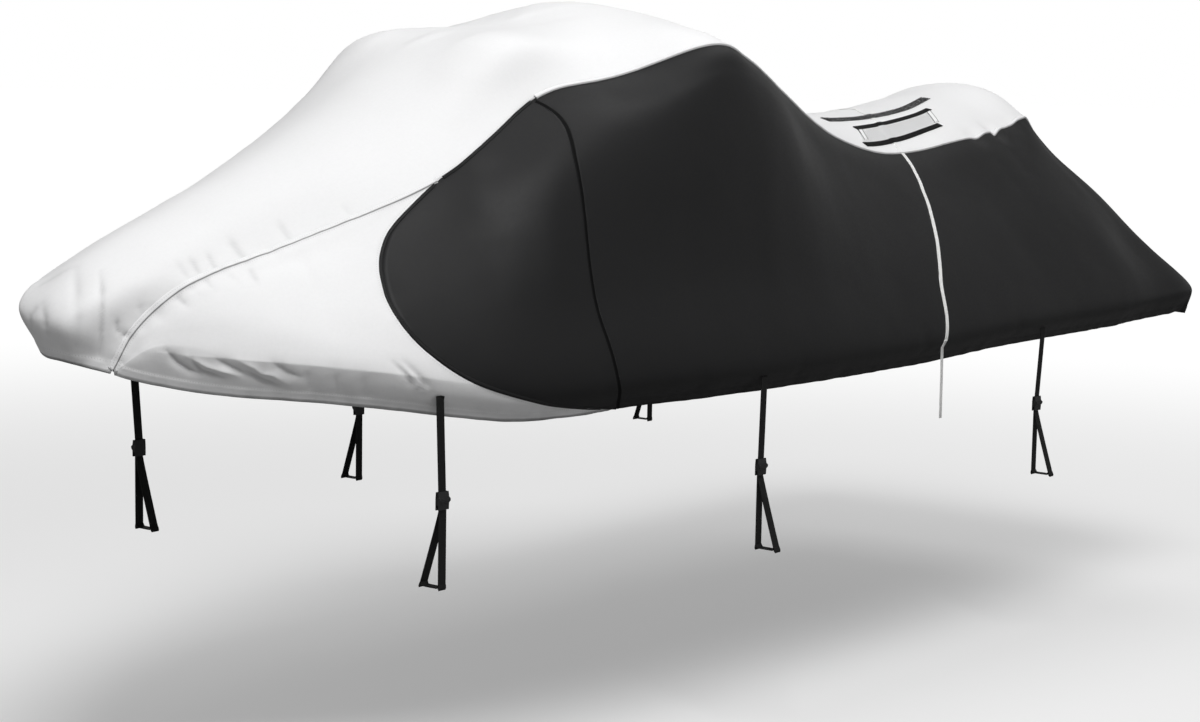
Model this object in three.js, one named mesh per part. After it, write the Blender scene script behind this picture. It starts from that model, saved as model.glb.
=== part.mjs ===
// A fitted cover for a three-seat personal watercraft, shaped as it lies over the bow, the handlebars,
// the seat and the stern. Millimetres; X runs aft, Y to starboard and Z up.
// The origin is on the underside of the cloth, at the top of the handlebar hump on the centre plane.
import * as THREE from 'three';

const { lerp, mapLinear, smoothstep } = THREE.MathUtils;

// Driving dimensions
const CLOTH = 2.4; // coated polyester cloth with its soft backing
const SEAM = 0.3; // open line between two panels along a sewn seam
const TOP = { x: 1420, z: 797 }; // top of the hump, from the bow and above the lowest hem
const LEAST_TIP = 0.02; // share of a row at which a pointed panel ends
// Lift of the starboard bow hem: it fades out along the cover and up the bow.
const RIDE = { rise: 60, across: 120, along: [650, 1250], low: 120, high: 330 };

// Webbing. A tie is sewn to the hem and hangs to a buckle; a loop from the buckle goes round a rail.
const WEB = { width: 20, thick: 1.6 };
const ON_CLOTH = 0.95; // open line between the cloth and what lies on it
const LOOP = { rail: 46, corner: 9, play: 0.2, turns: 4 };
const POCKET = { top: 10, foot: 9, play: 0.3 };
const BUCKLE = { width: 28, height: 34 };
// The buckle's section: [outboard from the middle of the tie, up from its foot]
const BUCKLE_PROFILE = [
  [-2.1, 0], [-2.1, 9], [2.1, 9], [2.1, 0], [4.6, 0], [5.2, 12], [9, 17], [9, 21], [5.2, 24], [3.6, 34],
  [1.1, 34], [1.1, 24], [-1.1, 24], [-1.1, 34], [-3.4, 34], [-4.3, 22], [-4.3, 0],
];
// top and foot are heights; the rail lies inboard of the tie (-1) or outboard of it (1).
const TIES = [
  { name: 'front', section: 3.55, top: -111, foot: -292, rail: -1 },
  { name: 'middle', section: 7.79, top: -127, foot: -312, rail: 1 },
  { name: 'rear', section: 12.59, top: -110, foot: -295, rail: 1 },
];
const SEWN_LINES = [0.6, 0.55, 0.5, 0.45, 0.4, 1 / 3]; // where a tie lies on the cloth, from its top down
const BELT = { width: 10, thick: 1.4, foot: -112, steps: 6, free: 4 };

// Vent and hook strip on the port slope of the seat, over the belt
const OVER_BELT = ON_CLOTH + BELT.thick + ON_CLOTH;
const VENT = {
  thick: 1.6,
  rows: 14,
  columns: 3,
  near: [{ t: 4.2, s: 11.81 }, { t: 4.51, s: 12.98 }],
  far: [{ t: 4.74, s: 12.06 }, { t: 5.14, s: 13.29 }],
};
const BOUND = { width: 12, thick: 2.4, past: 0.02 };
const HOOK = { width: 20, thick: 1.8, from: { t: 5.03, s: 11.77 }, to: { t: 5.62, s: 13.7 } };
const LAID_STEP = 26; // between the rows of what lies on the cloth

// Sections of the cover from the bow to the stern, one row each. A point is [x from the bow, half
// width, height above the lowest hem]. The columns are the lines that run the length of the cover.
const LINES = ['hem', 'knuckle', 'flank', 'brow', 'seam', 'crown', 'crest'];
const SECTIONS = [
  // hem at the nose, from the foot of the seam round to the centre
  [[112, 96, 122], [112, 96, 122], [112, 96, 122], [112, 96, 122],
    [112, 96, 122], [72, 50, 138], [57, 0, 146]],
  // bumper at the nose
  [[164, 124, 104], [168, 148, 165], [166, 143, 180], [158, 132, 190],
    [147, 118, 197], [46, 70, 213], [30, 0, 223]],
  // top of the nose
  [[260, 194, 81], [263, 225, 150], [262, 212, 200], [250, 183, 240],
    [234, 150, 271], [148, 92, 289], [114, 0, 302]],
  // bonnet
  [[460, 332, 54], [462, 366, 123], [462, 330, 205], [462, 255, 288],
    [462, 185, 340], [440, 100, 416], [430, 0, 440]],
  // foot of the black side panels
  [[740, 452, 7], [742, 488, 76], [742, 452, 200], [742, 365, 345],
    [740, 279, 445], [735, 150, 533], [730, 0, 568]],
  [[883, 490, 0], [884, 526, 72], [884, 487, 215], [884, 400, 425],
    [883, 282, 517], [870, 165, 607], [870, 0, 648]],
  // front corner of the hump
  [[1050, 520, 7], [1052, 556, 78], [1052, 505, 250], [1052, 415, 515],
    [1050, 284, 611], [1022, 205, 707], [1020, 0, 724]],
  [[1234, 544, 7], [1236, 580, 76], [1236, 522, 265], [1236, 445, 570],
    [1234, 330, 648], [1220, 200, 722], [1220, 0, 749]],
  // handlebars
  [[1459, 560, 7], [1461, 597, 75], [1461, 540, 270], [1461, 455, 630],
    [1459, 400, 713], [1440, 200, 765], [1420, 0, 797]],
  [[1613, 566, 7], [1622, 603, 74], [1622, 548, 255], [1622, 445, 585],
    [1613, 380, 677], [1610, 200, 750], [1610, 0, 778]],
  [[1840, 570, 6], [1842, 607, 72], [1842, 545, 225], [1842, 402, 480],
    [1840, 330, 594], [1830, 190, 660], [1820, 0, 692]],
  // front of the seat
  [[2060, 572, 9], [2062, 609, 74], [2062, 540, 212], [2062, 380, 415],
    [2060, 293, 513], [2055, 165, 568], [2050, 0, 592]],
  [[2330, 572, 17], [2332, 609, 82], [2332, 540, 207], [2332, 375, 378],
    [2330, 272, 462], [2330, 140, 532], [2330, 0, 548]],
  [[2680, 566, 20], [2682, 603, 84], [2682, 535, 215], [2682, 370, 395],
    [2680, 268, 488], [2690, 140, 543], [2690, 0, 562]],
  [[2860, 564, 21], [2862, 600, 85], [2864, 528, 225], [2880, 367, 408],
    [2920, 245, 510], [2925, 135, 572], [2930, 0, 596]],
  // end of the seat
  [[3000, 562, 23], [3005, 598, 88], [3010, 510, 240], [3040, 332, 425],
    [3080, 225, 529], [3095, 125, 594], [3105, 0, 613]],
  // stern, which falls to the transom
  [[3160, 558, 27], [3168, 592, 92], [3200, 490, 210], [3245, 348, 345],
    [3262, 200, 378], [3268, 110, 387], [3272, 0, 390]],
  [[3290, 560, 30], [3310, 592, 92], [3330, 540, 150], [3362, 400, 200],
    [3378, 180, 217], [3383, 90, 220], [3385, 0, 221]],
  [[3348, 558, 33], [3375, 580, 84], [3405, 540, 100], [3425, 400, 104],
    [3432, 170, 106], [3435, 85, 107], [3436, 0, 107]],
  [[3350, 556, 32], [3378, 560, 27], [3398, 515, 26], [3415, 400, 26],
    [3424, 170, 26], [3427, 85, 26], [3428, 0, 26]],
];
const SEAM_LINE = LINES.indexOf('seam');
const CREST_LINE = LINES.indexOf('crest');
const HEM_TO_HEM = 2 * CREST_LINE;
const LAST = SECTIONS.length - 1;

// Seams and the belt, as [line, section] places from the port side up. The belt hangs free from the knuckle.
const FRONT_EDGE = [
  [0, 5.78], [0.3, 5.03], [0.59, 4.43], [0.87, 3.88], [1.26, 3.54], [1.73, 3.37], [2.44, 3.32], [3.29, 3.47],
  [3.78, 3.72], [4, 4.1],
];
const DARK_SEAM = [[0, 5.83], [1.16, 5.54], [2.1, 5.47], [2.9, 5.66], [3.27, 5.82], [3.67, 5.92], [4, 5.84]];
const BELT_LINE = [
  [0.6, 11.03], [1.12, 11.06], [1.88, 11.28], [2.48, 11.7], [2.98, 12], [3.62, 12.16], [4.31, 12.28],
  [5.54, 12.6], [6.3, 12.85], [8, 12.95], [9, 12.65], [10.1, 12], [11.4, 11.8],
];

// Rows of the cloth's mesh: along the bow seam, up to the dark seam, and on to the stern
const ROWS = { bow: 12, shoulder: 6, aft: 40 };
const SIDE_STEPS = 12; // from the hem up to the seam line
const TOP_STEPS = 12; // across the top panel

const material = (color, roughness) => new THREE.MeshStandardMaterial({ color, roughness, metalness: 0 });
const WHITE = material(0xf0f0f0, 0.75);
const BLACK = material(0x262626, 0.7);
const WEBBING = material(0x0c0c0c, 0.85);
const PALE_WEBBING = material(0xe8e8e8, 0.85);
const PLASTIC = material(0x1a1a1a, 0.45);
const MESH = material(0xdcdcdc, 0.9);
const BINDING = material(0x0a0a0a, 0.8);
const HOOKS = material(0x3c3c3c, 0.95);

const group = new THREE.Group();

// The cloth's outer surface

const level = (height) => height - TOP.z + CLOTH;
const place = ([x, half, height]) => new THREE.Vector3(x - TOP.x, -half, level(height));
const lines = LINES.map((_, k) => new THREE.CatmullRomCurve3(SECTIONS.map((row) => place(row[k]))));
const mirrored = (p) => new THREE.Vector3(p.x, -p.y, p.z);

const sections = new Map();
function section(s) {
  if (!sections.has(s)) {
    const port = lines.map((line) => line.getPoint(s / LAST));
    const starboard = port.slice(0, CREST_LINE).reverse().map(mirrored);
    sections.set(s, new THREE.CatmullRomCurve3([...port, ...starboard]));
  }
  return sections.get(s);
}

// A point of the surface: s counts sections from the bow, and t counts lines from the port hem.
function surface(s, t) {
  const p = section(s).getPoint(t / HEM_TO_HEM);
  const low = 1 - smoothstep(p.z, level(RIDE.low), level(RIDE.high));
  const fore = 1 - smoothstep(p.x + TOP.x, ...RIDE.along);
  p.z += RIDE.rise * smoothstep(p.y, 0, RIDE.across) * fore * low;
  return p;
}

function normal(s, t) {
  const step = 0.01;
  const low = (v) => Math.max(v - step, 0);
  const along = surface(Math.min(s + step, LAST), t).sub(surface(low(s), t));
  const across = surface(s, Math.min(t + step, HEM_TO_HEM)).sub(surface(s, low(t)));
  return along.cross(across).normalize();
}

// A curve through [line, section] places, read as the section at a line
function sectionAt(places) {
  const curve = new THREE.SplineCurve(places.map(([t, s]) => new THREE.Vector2(t, s)));
  const points = curve.getPoints(40 * places.length);
  return (t) => {
    const k = Math.max(1, points.findIndex((p) => p.x >= t - 1e-9));
    const [a, b] = [points[k - 1], points[k]];
    return mapLinear(t, a.x, b.x, a.y, b.y);
  };
}

// Solids

function add(name, geometry, look) {
  const mesh = new THREE.Mesh(geometry, look);
  mesh.name = name;
  group.add(mesh);
  return mesh;
}

// A closed solid between an outer and an inner grid of points, which have the same rows.
function shell(name, outer, inner, look) {
  const rows = outer.length;
  const columns = outer[0].length;
  const positions = [...outer.flat(), ...inner.flat()].flatMap((p) => [p.x, p.y, p.z]);
  const at = (i, j) => i * columns + j;
  const under = rows * columns;
  const index = [];
  const quad = (a, b, c, d) => index.push(a, b, c, a, c, d);
  for (let i = 0; i + 1 < rows; i++) {
    for (let j = 0; j + 1 < columns; j++) {
      quad(at(i, j), at(i + 1, j), at(i + 1, j + 1), at(i, j + 1));
      quad(under + at(i, j), under + at(i, j + 1), under + at(i + 1, j + 1), under + at(i + 1, j));
    }
  }
  // The walls on either side of a seam are split along the same diagonals.
  const wall = (a, b) => quad(a, b, under + b, under + a);
  const farWall = (a, b) => quad(b, under + b, under + a, a);
  for (let i = 0; i + 1 < rows; i++) {
    wall(at(i + 1, 0), at(i, 0));
    farWall(at(i, columns - 1), at(i + 1, columns - 1));
  }
  for (let j = 0; j + 1 < columns; j++) {
    wall(at(0, j), at(0, j + 1));
    farWall(at(rows - 1, j + 1), at(rows - 1, j));
  }
  const geometry = new THREE.BufferGeometry();
  geometry.setAttribute('position', new THREE.Float32BufferAttribute(positions, 3));
  geometry.setIndex(index);
  geometry.computeVertexNormals();
  return add(name, geometry, look);
}

// A cloth panel over a grid of [s, t] places. Its sewn edges draw back by half of the seam's line.
function panel(name, places, sewn, look) {
  const rows = places.length;
  const columns = places[0].length;
  const points = places.map((row) => row.map(([s, t]) => surface(s, t)));
  const normals = places.map((row) => row.map(([s, t]) => normal(s, t)));
  const outer = points.map((row) => row.map((p) => p.clone()));
  const draw = (i, j, next, last, inward) => {
    const along = points[next[0]][next[1]].clone().sub(points[last[0]][last[1]]);
    const away = along.cross(normals[i][j]).normalize();
    const towards = points[inward[0]][inward[1]].clone().sub(points[i][j]);
    outer[i][j].addScaledVector(away, Math.sign(away.dot(towards)) * SEAM / 2);
  };
  for (let i = 0; i < rows; i++) {
    const [before, after] = [Math.max(i - 1, 0), Math.min(i + 1, rows - 1)];
    if (sewn.left) draw(i, 0, [after, 0], [before, 0], [i, 1]);
    if (sewn.right) draw(i, columns - 1, [after, columns - 1], [before, columns - 1], [i, columns - 2]);
  }
  for (let j = 0; j < columns; j++) {
    const [before, after] = [Math.max(j - 1, 0), Math.min(j + 1, columns - 1)];
    if (sewn.first) draw(0, j, [0, after], [0, before], [1, j]);
    if (sewn.last) draw(rows - 1, j, [rows - 1, after], [rows - 1, before], [rows - 2, j]);
  }
  const inner = outer.map((row, i) => row.map((p, j) => p.clone().addScaledVector(normals[i][j], -CLOTH)));
  return shell(name, outer, inner, look);
}

// The same panel on both sides. Its grid runs from the hem up, so that the starboard one is turned.
function pair(name, places, sewn, look) {
  const turned = places.map((row) => row.map(([s, t]) => [s, HEM_TO_HEM - t]).reverse());
  return [
    panel(`${name}_port`, places, sewn, look),
    panel(`${name}_starboard`, turned, { ...sewn, left: sewn.right, right: sewn.left }, look),
  ];
}

// Panels

const frontEdge = sectionAt(FRONT_EDGE);
const darkSeam = sectionAt(DARK_SEAM);
const range = (count, from, to) =>
  Array.from({ length: count + 1 }, (_, k) => lerp(from, to, k / count));

const bowRows = range(ROWS.bow, 0, frontEdge(SEAM_LINE));
const shoulderRows = range(ROWS.shoulder, frontEdge(SEAM_LINE), darkSeam(SEAM_LINE));
const aftRows = range(ROWS.aft, darkSeam(SEAM_LINE), LAST);
const sideLines = range(SIDE_STEPS, 0, SEAM_LINE);
const topLines = range(TOP_STEPS, SEAM_LINE, HEM_TO_HEM - SEAM_LINE);
const bowShares = range(ROWS.bow, 0, 1).map((share) => Math.max(share, LEAST_TIP));

const topRows = [...bowRows, ...shoulderRows.slice(1), ...aftRows.slice(1)];
const cloths = [
  panel('top_panel', topRows.map((s) => topLines.map((t) => [s, t])), { left: true, right: true }, WHITE),
  ...pair('bow_side', bowShares.map((share) => sideLines.map((t) => [share * frontEdge(t), t])),
    { right: true, last: true }, WHITE),
  ...pair('side_front', range(ROWS.shoulder, 0, 1).map((share) => sideLines.map((t) =>
    [lerp(frontEdge(t), darkSeam(t), share), t])),
  { first: true, right: true, last: true }, BLACK),
  ...pair('side_rear', range(ROWS.aft, 0, 1).map((share) => sideLines.map((t) =>
    [lerp(darkSeam(t), LAST, share), t])), { first: true, right: true }, BLACK),
];

// What lies on the cloth

const REACH = 40;
const ray = new THREE.Raycaster();
ray.far = 2 * REACH;

// The point on the cloth's facets under or over a point, along the way out of the cloth
function laid(point, out) {
  ray.set(point.clone().addScaledVector(out, REACH), out.clone().negate());
  const [hit] = ray.intersectObjects(cloths, false);
  return hit ? hit.point : point.clone();
}

function onCloth([s, t]) {
  const out = normal(s, t);
  return { at: laid(surface(s, t), out), out };
}

// A sheet between two distances from a grid of { at, out } places
function sheet(name, grid, low, high, look) {
  const raised = (distance) =>
    grid.map((row) => row.map(({ at, out }) => at.clone().addScaledVector(out, distance)));
  return shell(name, raised(high), raised(low), look);
}

// The edges and the middle of a strip at a place { at, out }, across its way
const SHARES = [-0.5, 0, 0.5];
function spread({ at, out }, way, width) {
  const across = out.clone().cross(way).normalize();
  return SHARES.map((share) => ({ at: at.clone().addScaledVector(across, share * width), out }));
}

// Rows of a strip that lies on the cloth along stations { at, out }
function laidRows(stations, width) {
  return stations.map((station, i) => {
    const after = stations[Math.min(i + 1, stations.length - 1)].at;
    const way = after.clone().sub(stations[Math.max(i - 1, 0)].at);
    return spread(station, way, width).map(({ at, out }) => ({ at: laid(at, out), out }));
  });
}

// Stations on the cloth along a way k -> [s, t], about a gap apart
function stationsAlong(way, gap) {
  const fine = range(400, 0, 1);
  const points = fine.map((k) => surface(...way(k)));
  const lengths = [0];
  for (let i = 1; i < points.length; i++) lengths.push(lengths[i - 1] + points[i].distanceTo(points[i - 1]));
  const total = lengths.at(-1);
  const shares = range(Math.round(total / gap), 0, total).map((length) =>
    fine[lengths.findIndex((v) => v >= length - 1e-6)]);
  return shares.map((k) => onCloth(way(k)));
}

const middleOf = (row) => row[(SHARES.length - 1) / 2].at;

// A row that hangs straight under a laid row, at a height above the lowest hem
function hung(row, side, height, rise, width) {
  const at = middleOf(row).clone().setZ(level(height));
  return spread({ at, out: new THREE.Vector3(0, side, 0) }, new THREE.Vector3(0, 0, rise), width);
}

const beltAt = sectionAt(BELT_LINE);
const beltLines = range(BELT.steps * HEM_TO_HEM, 0, HEM_TO_HEM).slice(BELT.free, -BELT.free);
const beltStations = beltLines.map((t) => onCloth([beltAt(t), t]));
const beltRows = laidRows(beltStations, BELT.width);
const beltEnd = (row, side) => hung(row, side, BELT.foot, -side, BELT.width);
sheet('belt', [beltEnd(beltRows[0], -1), ...beltRows, beltEnd(beltRows.at(-1), 1)],
  ON_CLOTH, ON_CLOTH + BELT.thick, PALE_WEBBING);

// The vent's places: k runs aft along it and m from its near edge to its far edge.
const ventPlace = (k, m) => [
  lerp(lerp(VENT.near[0].s, VENT.near[1].s, k), lerp(VENT.far[0].s, VENT.far[1].s, k), m),
  lerp(lerp(VENT.near[0].t, VENT.near[1].t, k), lerp(VENT.far[0].t, VENT.far[1].t, k), m),
];
const ventShares = [-BOUND.past, ...range(VENT.rows, 0, 1), 1 + BOUND.past];
const boundRows = [0, 1].map((m) =>
  laidRows(ventShares.map((k) => onCloth(ventPlace(k, m))), BOUND.width));
for (const [rows, label] of [[boundRows[0], 'near'], [boundRows[1], 'far']]) {
  sheet(`vent_binding_${label}`, rows, OVER_BELT, OVER_BELT + BOUND.thick, BINDING);
}

// The mesh spans between the inner edges of its bindings.
const fieldRows = ventShares.slice(1, -1).map((k, i) => {
  const [from, to] = [boundRows[0][i + 1].at(-1), boundRows[1][i + 1][0]];
  const inset = SEAM / from.at.distanceTo(to.at);
  return range(VENT.columns, inset, 1 - inset).map((share) => {
    const out = from.out.clone().lerp(to.out, share).normalize();
    return { at: laid(from.at.clone().lerp(to.at, share), out), out };
  });
});
const fieldFoot = OVER_BELT + (BOUND.thick - VENT.thick) / 2;
sheet('vent_mesh', fieldRows, fieldFoot, fieldFoot + VENT.thick, MESH);

const hookWay = (k) => [lerp(HOOK.from.s, HOOK.to.s, k), lerp(HOOK.from.t, HOOK.to.t, k)];
const hookRows = laidRows(stationsAlong(hookWay, LAID_STEP), HOOK.width);
sheet('hook_strip', hookRows, OVER_BELT, OVER_BELT + HOOK.thick, HOOKS);

// Ties

// Points with the corners that have a radius rounded
function rounded(corners) {
  return corners.flatMap(([a, h, radius], i) => {
    const corner = new THREE.Vector2(a, h);
    if (!radius) return [corner];
    const toward = (other) =>
      new THREE.Vector2(...corners[other]).sub(corner).setLength(radius).add(corner);
    return new THREE.QuadraticBezierCurve(toward(i - 1), corner, toward(i + 1)).getPoints(LOOP.turns);
  });
}

for (const { name, section: s, top, foot, rail } of TIES) {
  for (const [side, label] of [[-1, 'port'], [1, 'starboard']]) {
    const line = (t) => (side < 0 ? t : HEM_TO_HEM - t);
    const sewn = laidRows(SEWN_LINES.map((t) => onCloth([s, line(t)])), WEB.width);
    const down = [top + POCKET.top, top - POCKET.top + POCKET.play].map((height) =>
      hung(sewn.at(-1), side, height, -1, WEB.width));
    sheet(`tie_${name}_${label}`, [...sewn, ...down], ON_CLOTH, ON_CLOTH + WEB.thick, WEBBING);

    // a counts outboard from the middle of the hanging tie, and h counts up from the lowest hem.
    const middle = middleOf(down[0]).clone();
    middle.y += side * (ON_CLOTH + WEB.thick / 2);
    const point = (a, h) => new THREE.Vector3(middle.x, middle.y + side * a, level(h));
    const under = top - BUCKLE.height;

    const profile = BUCKLE_PROFILE.map(([a, h]) => new THREE.Vector2(side * a, h));
    const geometry = new THREE.ExtrudeGeometry(new THREE.Shape(profile),
      { depth: BUCKLE.width, bevelEnabled: false, steps: 1 });
    const [across, up, along] = [[0, 1, 0], [0, 0, 1], [1, 0, 0]].map((v) => new THREE.Vector3(...v));
    geometry.applyMatrix4(new THREE.Matrix4().makeBasis(across, up, along)
      .setPosition(middle.x - BUCKLE.width / 2, middle.y, level(under)));
    add(`buckle_${name}_${label}`, geometry, PLASTIC);

    const strand = WEB.thick / 2 + LOOP.play;
    const inPocket = under + POCKET.foot - POCKET.play;
    const path = rounded([
      [-strand, inPocket], [-strand, under - POCKET.foot],
      [rail < 0 ? -LOOP.rail : -strand, foot, LOOP.corner],
      [rail > 0 ? LOOP.rail : strand, foot, LOOP.corner],
      [strand, under - POCKET.foot], [strand, inPocket],
    ]).map((v) => point(v.x, v.y));
    const faces = path.slice(1).map((p, i) => p.clone().sub(path[i]).normalize().cross(along));
    const outs = path.map((_, i) => {
      const [before, after] = [faces[Math.max(i - 1, 0)], faces[Math.min(i, faces.length - 1)]];
      return before.clone().add(after).divideScalar(1 + before.dot(after));
    });
    const rows = path.map((at, i) => [-0.5, 0.5].map((share) =>
      ({ at: at.clone().addScaledVector(along, share * WEB.width), out: outs[i] })));
    sheet(`loop_${name}_${label}`, rows, -WEB.thick / 2, WEB.thick / 2, WEBBING);
  }
}

export default group;
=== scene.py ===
"""The looks of a personal watercraft cover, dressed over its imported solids.

Each cloth panel is taken from its solid's outer skin, made finer and given the folds that the cover shows.
The seams, the belt, the vent, the hook strip and the ties are then laid on the folded cloth.
"""

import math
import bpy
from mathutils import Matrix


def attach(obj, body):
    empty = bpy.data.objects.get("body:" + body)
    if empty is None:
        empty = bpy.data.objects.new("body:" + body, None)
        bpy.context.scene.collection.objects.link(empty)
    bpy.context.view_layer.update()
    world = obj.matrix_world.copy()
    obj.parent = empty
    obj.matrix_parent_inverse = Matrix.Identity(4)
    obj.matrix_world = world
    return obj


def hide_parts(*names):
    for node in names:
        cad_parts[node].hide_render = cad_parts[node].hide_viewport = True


bl_info = {
    "name": "Watercraft cover",
    "version": (1, 0, 0),
    "blender": (4, 5, 0),
    "location": "View3D > Sidebar > Cover",
    "description": "Dresses the packed solids of a watercraft cover in cloth, webbing and tape",
    "category": "Object",
}

import bmesh
import bpy
import numpy as np
from mathutils import Matrix, Vector, noise
from mathutils.bvhtree import BVHTree
from mathutils.kdtree import KDTree

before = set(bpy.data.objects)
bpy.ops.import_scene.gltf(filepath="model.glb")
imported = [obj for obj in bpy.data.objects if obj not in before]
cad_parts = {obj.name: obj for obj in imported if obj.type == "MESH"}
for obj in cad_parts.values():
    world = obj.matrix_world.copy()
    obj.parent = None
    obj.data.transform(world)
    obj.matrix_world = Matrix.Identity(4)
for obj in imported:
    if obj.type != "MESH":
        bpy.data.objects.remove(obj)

MM = 0.001
BODY = "root"
SIDES = {"port": -1, "starboard": 1}


def tint(name, description, tone):
    """A colour that a user would change."""
    return bpy.props.FloatVectorProperty(name=name, description=description, default=tone, subtype="COLOR")


class CoverSettings(bpy.types.PropertyGroup):
    """Sizes and colours that a user would change."""

    cloth: bpy.props.FloatProperty(
        name="Cloth", description="Thickness of the coated cloth", unit="LENGTH", default=1.2 * MM
    )
    depth: bpy.props.FloatProperty(
        name="Folds", description="Share of the folds' full depth", subtype="FACTOR", default=1
    )
    light: tint("Light cloth", "Colour of the top and the bow sides", (0.83, 0.83, 0.835))
    dark: tint("Dark cloth", "Colour of the side panels", (0.0115, 0.0115, 0.012))
    webbing: tint("Dark webbing", "Colour of the ties and their loops", (0.006, 0.006, 0.006))
    belt: tint("Belt", "Colour of the belt over the seat", (0.86, 0.86, 0.85))
    mesh: tint("Mesh", "Colour of the vent's mesh", (0.80, 0.80, 0.805))
    binding: tint("Bindings", "Colour of the tapes along the vent", (0.003, 0.003, 0.003))
    pile: tint("Hook strip", "Colour of the hook strip's pile", (0.04, 0.04, 0.041))
    plastic: tint("Buckles", "Colour of the ties' buckles", (0.012, 0.012, 0.0125))


# Materials

FLAT = "flat"
SHEEN_ROUGHNESS = 0.4
# How softly a stitch ends, as a share of its pitch
DASH_EDGE = 0.08
# Roughness and specular level of each material
GLOSS = {
    "light": (0.62, 0.3), "dark": (0.55, 0.22), "channel": (0.75, 0.08), "webbing": (0.6, 0.25),
    "belt": (0.6, 0.3), "binding": (0.7, 0.1), "mesh": (0.7, 0.3), "tape": (0.6, 0.3), "pile": (0.7, 0.3),
    "plastic": (0.42, 0.4), "floor": (0.95, 0.1),
}


class Socket:
    """A value in a material, on which Python's operators add Math nodes."""

    def __init__(self, finish, link):
        self.finish = finish
        self.link = link

    def __add__(self, other):
        return self.finish.sum_of("ADD", self, other)

    def __sub__(self, other):
        return self.finish.sum_of("SUBTRACT", self, other)

    def __rsub__(self, other):
        return self.finish.sum_of("SUBTRACT", other, self)

    def __mul__(self, other):
        return self.finish.sum_of("MULTIPLY", self, other)

    def __truediv__(self, other):
        return self.finish.sum_of("DIVIDE", self, other)

    def __abs__(self):
        return self.finish.sum_of("ABSOLUTE", self)

    __radd__ = __add__
    __rmul__ = __mul__


class Finish:
    """A material, its coordinates and the patterns that its nodes make."""

    def __init__(self, name, colour, gloss, sheen=0.0):
        self.material = bpy.data.materials.new(name)
        self.material.use_nodes = True
        self.tree = self.material.node_tree
        self.shader = self.tree.nodes["Principled BSDF"]
        self.tone = (*colour, 1)
        roughness, specular = GLOSS[gloss]
        constants = {
            "Base Color": self.tone, "Roughness": roughness, "Specular IOR Level": specular,
            "Sheen Weight": sheen, "Sheen Roughness": SHEEN_ROUGHNESS,
        }
        for socket, value in constants.items():
            self.shader.inputs[socket].default_value = value
        self.at = self.node("ShaderNodeTexCoord", {}, {}, "Object")
        self.flat = self.node("ShaderNodeUVMap", {"uv_map": FLAT}, {}, "UV")
        self.across = self.node("ShaderNodeSeparateXYZ", {}, {"Vector": self.flat}, "X")
        self.along = Socket(self, self.across.link.node.outputs["Y"])

    def node(self, kind, settings, sockets, output=0):
        """Adds a node with its settings and the values or links of its sockets, and gives one output."""
        new = self.tree.nodes.new(kind)
        for name, value in settings.items():
            setattr(new, name, value)
        for name, value in sockets.items():
            self.feed(new.inputs[name], value)
        return Socket(self, new.outputs[output])

    def feed(self, socket, value):
        """Links a node's output to a socket, or sets the socket to a plain value."""
        if isinstance(value, Socket):
            self.tree.links.new(value.link, socket)
        else:
            socket.default_value = value

    def sum_of(self, operation, *values):
        """A Math node of some values."""
        return self.node("ShaderNodeMath", {"operation": operation}, dict(enumerate(values)))

    def given(self, name):
        """A number that the piece holds at each of its points."""
        return self.node("ShaderNodeAttribute", {"attribute_name": name}, {}, "Fac")

    def step(self, value, low, high):
        """Rises softly from 0 to 1 between two values."""
        return self.node(
            "ShaderNodeMapRange", {"interpolation_type": "SMOOTHSTEP"},
            {"Value": value, "From Min": low, "From Max": high},
        )

    def band(self, value, middle, half, soft):
        """1 within a distance of a middle value, falling softly to 0."""
        return 1 - self.step(abs(value - middle), half - soft, half + soft)

    def cloud(self, pitch, detail=2.0, where=None, stretch=None):
        """Noise of a size in metres, from 0 to 1."""
        where = where or self.at
        if stretch:
            where = self.node("ShaderNodeVectorMath", {"operation": "MULTIPLY"}, {0: where, 1: stretch})
        return self.node(
            "ShaderNodeTexNoise", {}, {"Vector": where, "Scale": 1 / pitch, "Detail": detail}, "Fac"
        )

    def wave(self, value, pitch):
        """A sine from -1 to 1 of a pitch in metres."""
        return self.sum_of("SINE", value * (2 * math.pi / pitch))

    def dashes(self, run, pitch, share):
        """1 on the thread and 0 on the holes between stitches, along a run."""
        place = self.sum_of("FRACT", run / pitch)
        return self.band(place, 0.5, share / 2, DASH_EDGE)

    def shaded(self, amount):
        """The piece's own colour times an amount."""
        return self.node("ShaderNodeVectorMath", {"operation": "SCALE"}, {0: self.tone[:3], "Scale": amount})

    def finished(self, colour, roughness, height):
        """Ends the material with a colour, a roughness and a relief in metres."""
        self.feed(self.shader.inputs["Base Color"], colour)
        self.feed(self.shader.inputs["Roughness"], roughness)
        relief = {"Strength": 1.0, "Distance": 1.0, "Height": height}
        self.feed(self.shader.inputs["Normal"], self.node("ShaderNodeBump", {}, relief, "Normal"))
        return self.material


# The weave's pitch, how thin a slub is beside its length, and the shares of the plain weave and the slubs
WEAVE = {"pitch": 1.5 * MM, "slub": 0.05, "plain": 0.6, "uneven": 1.6}
# A row of stitches: its pitch, the thread's share of it, its half width and soft edge, and its relief
THREAD = {
    "pitch": 5 * MM, "share": 0.72, "half": 0.7 * MM, "soft": 0.4 * MM, "rise": 0.3 * MM, "sink": 0.25 * MM,
}
HEM_WIDTH = 20 * MM
SEAM_ROW = 7 * MM
# The pitch and detail of the cloth's patterns
MOTTLE, GRAIN, CRUMPLE, BLOTS = (350 * MM, 3.0), (6 * MM, 2.0), (28 * MM, 2.5), (45 * MM, 4.0)
# How much each pattern changes the cloth's colour; the rim and the crease darken it as painted shade
TONES = {"mottle": 0.05, "grain": 0.05, "weave": 0.012, "stitches": 0.2, "rim": 0.55, "crease": 0.22}
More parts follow.
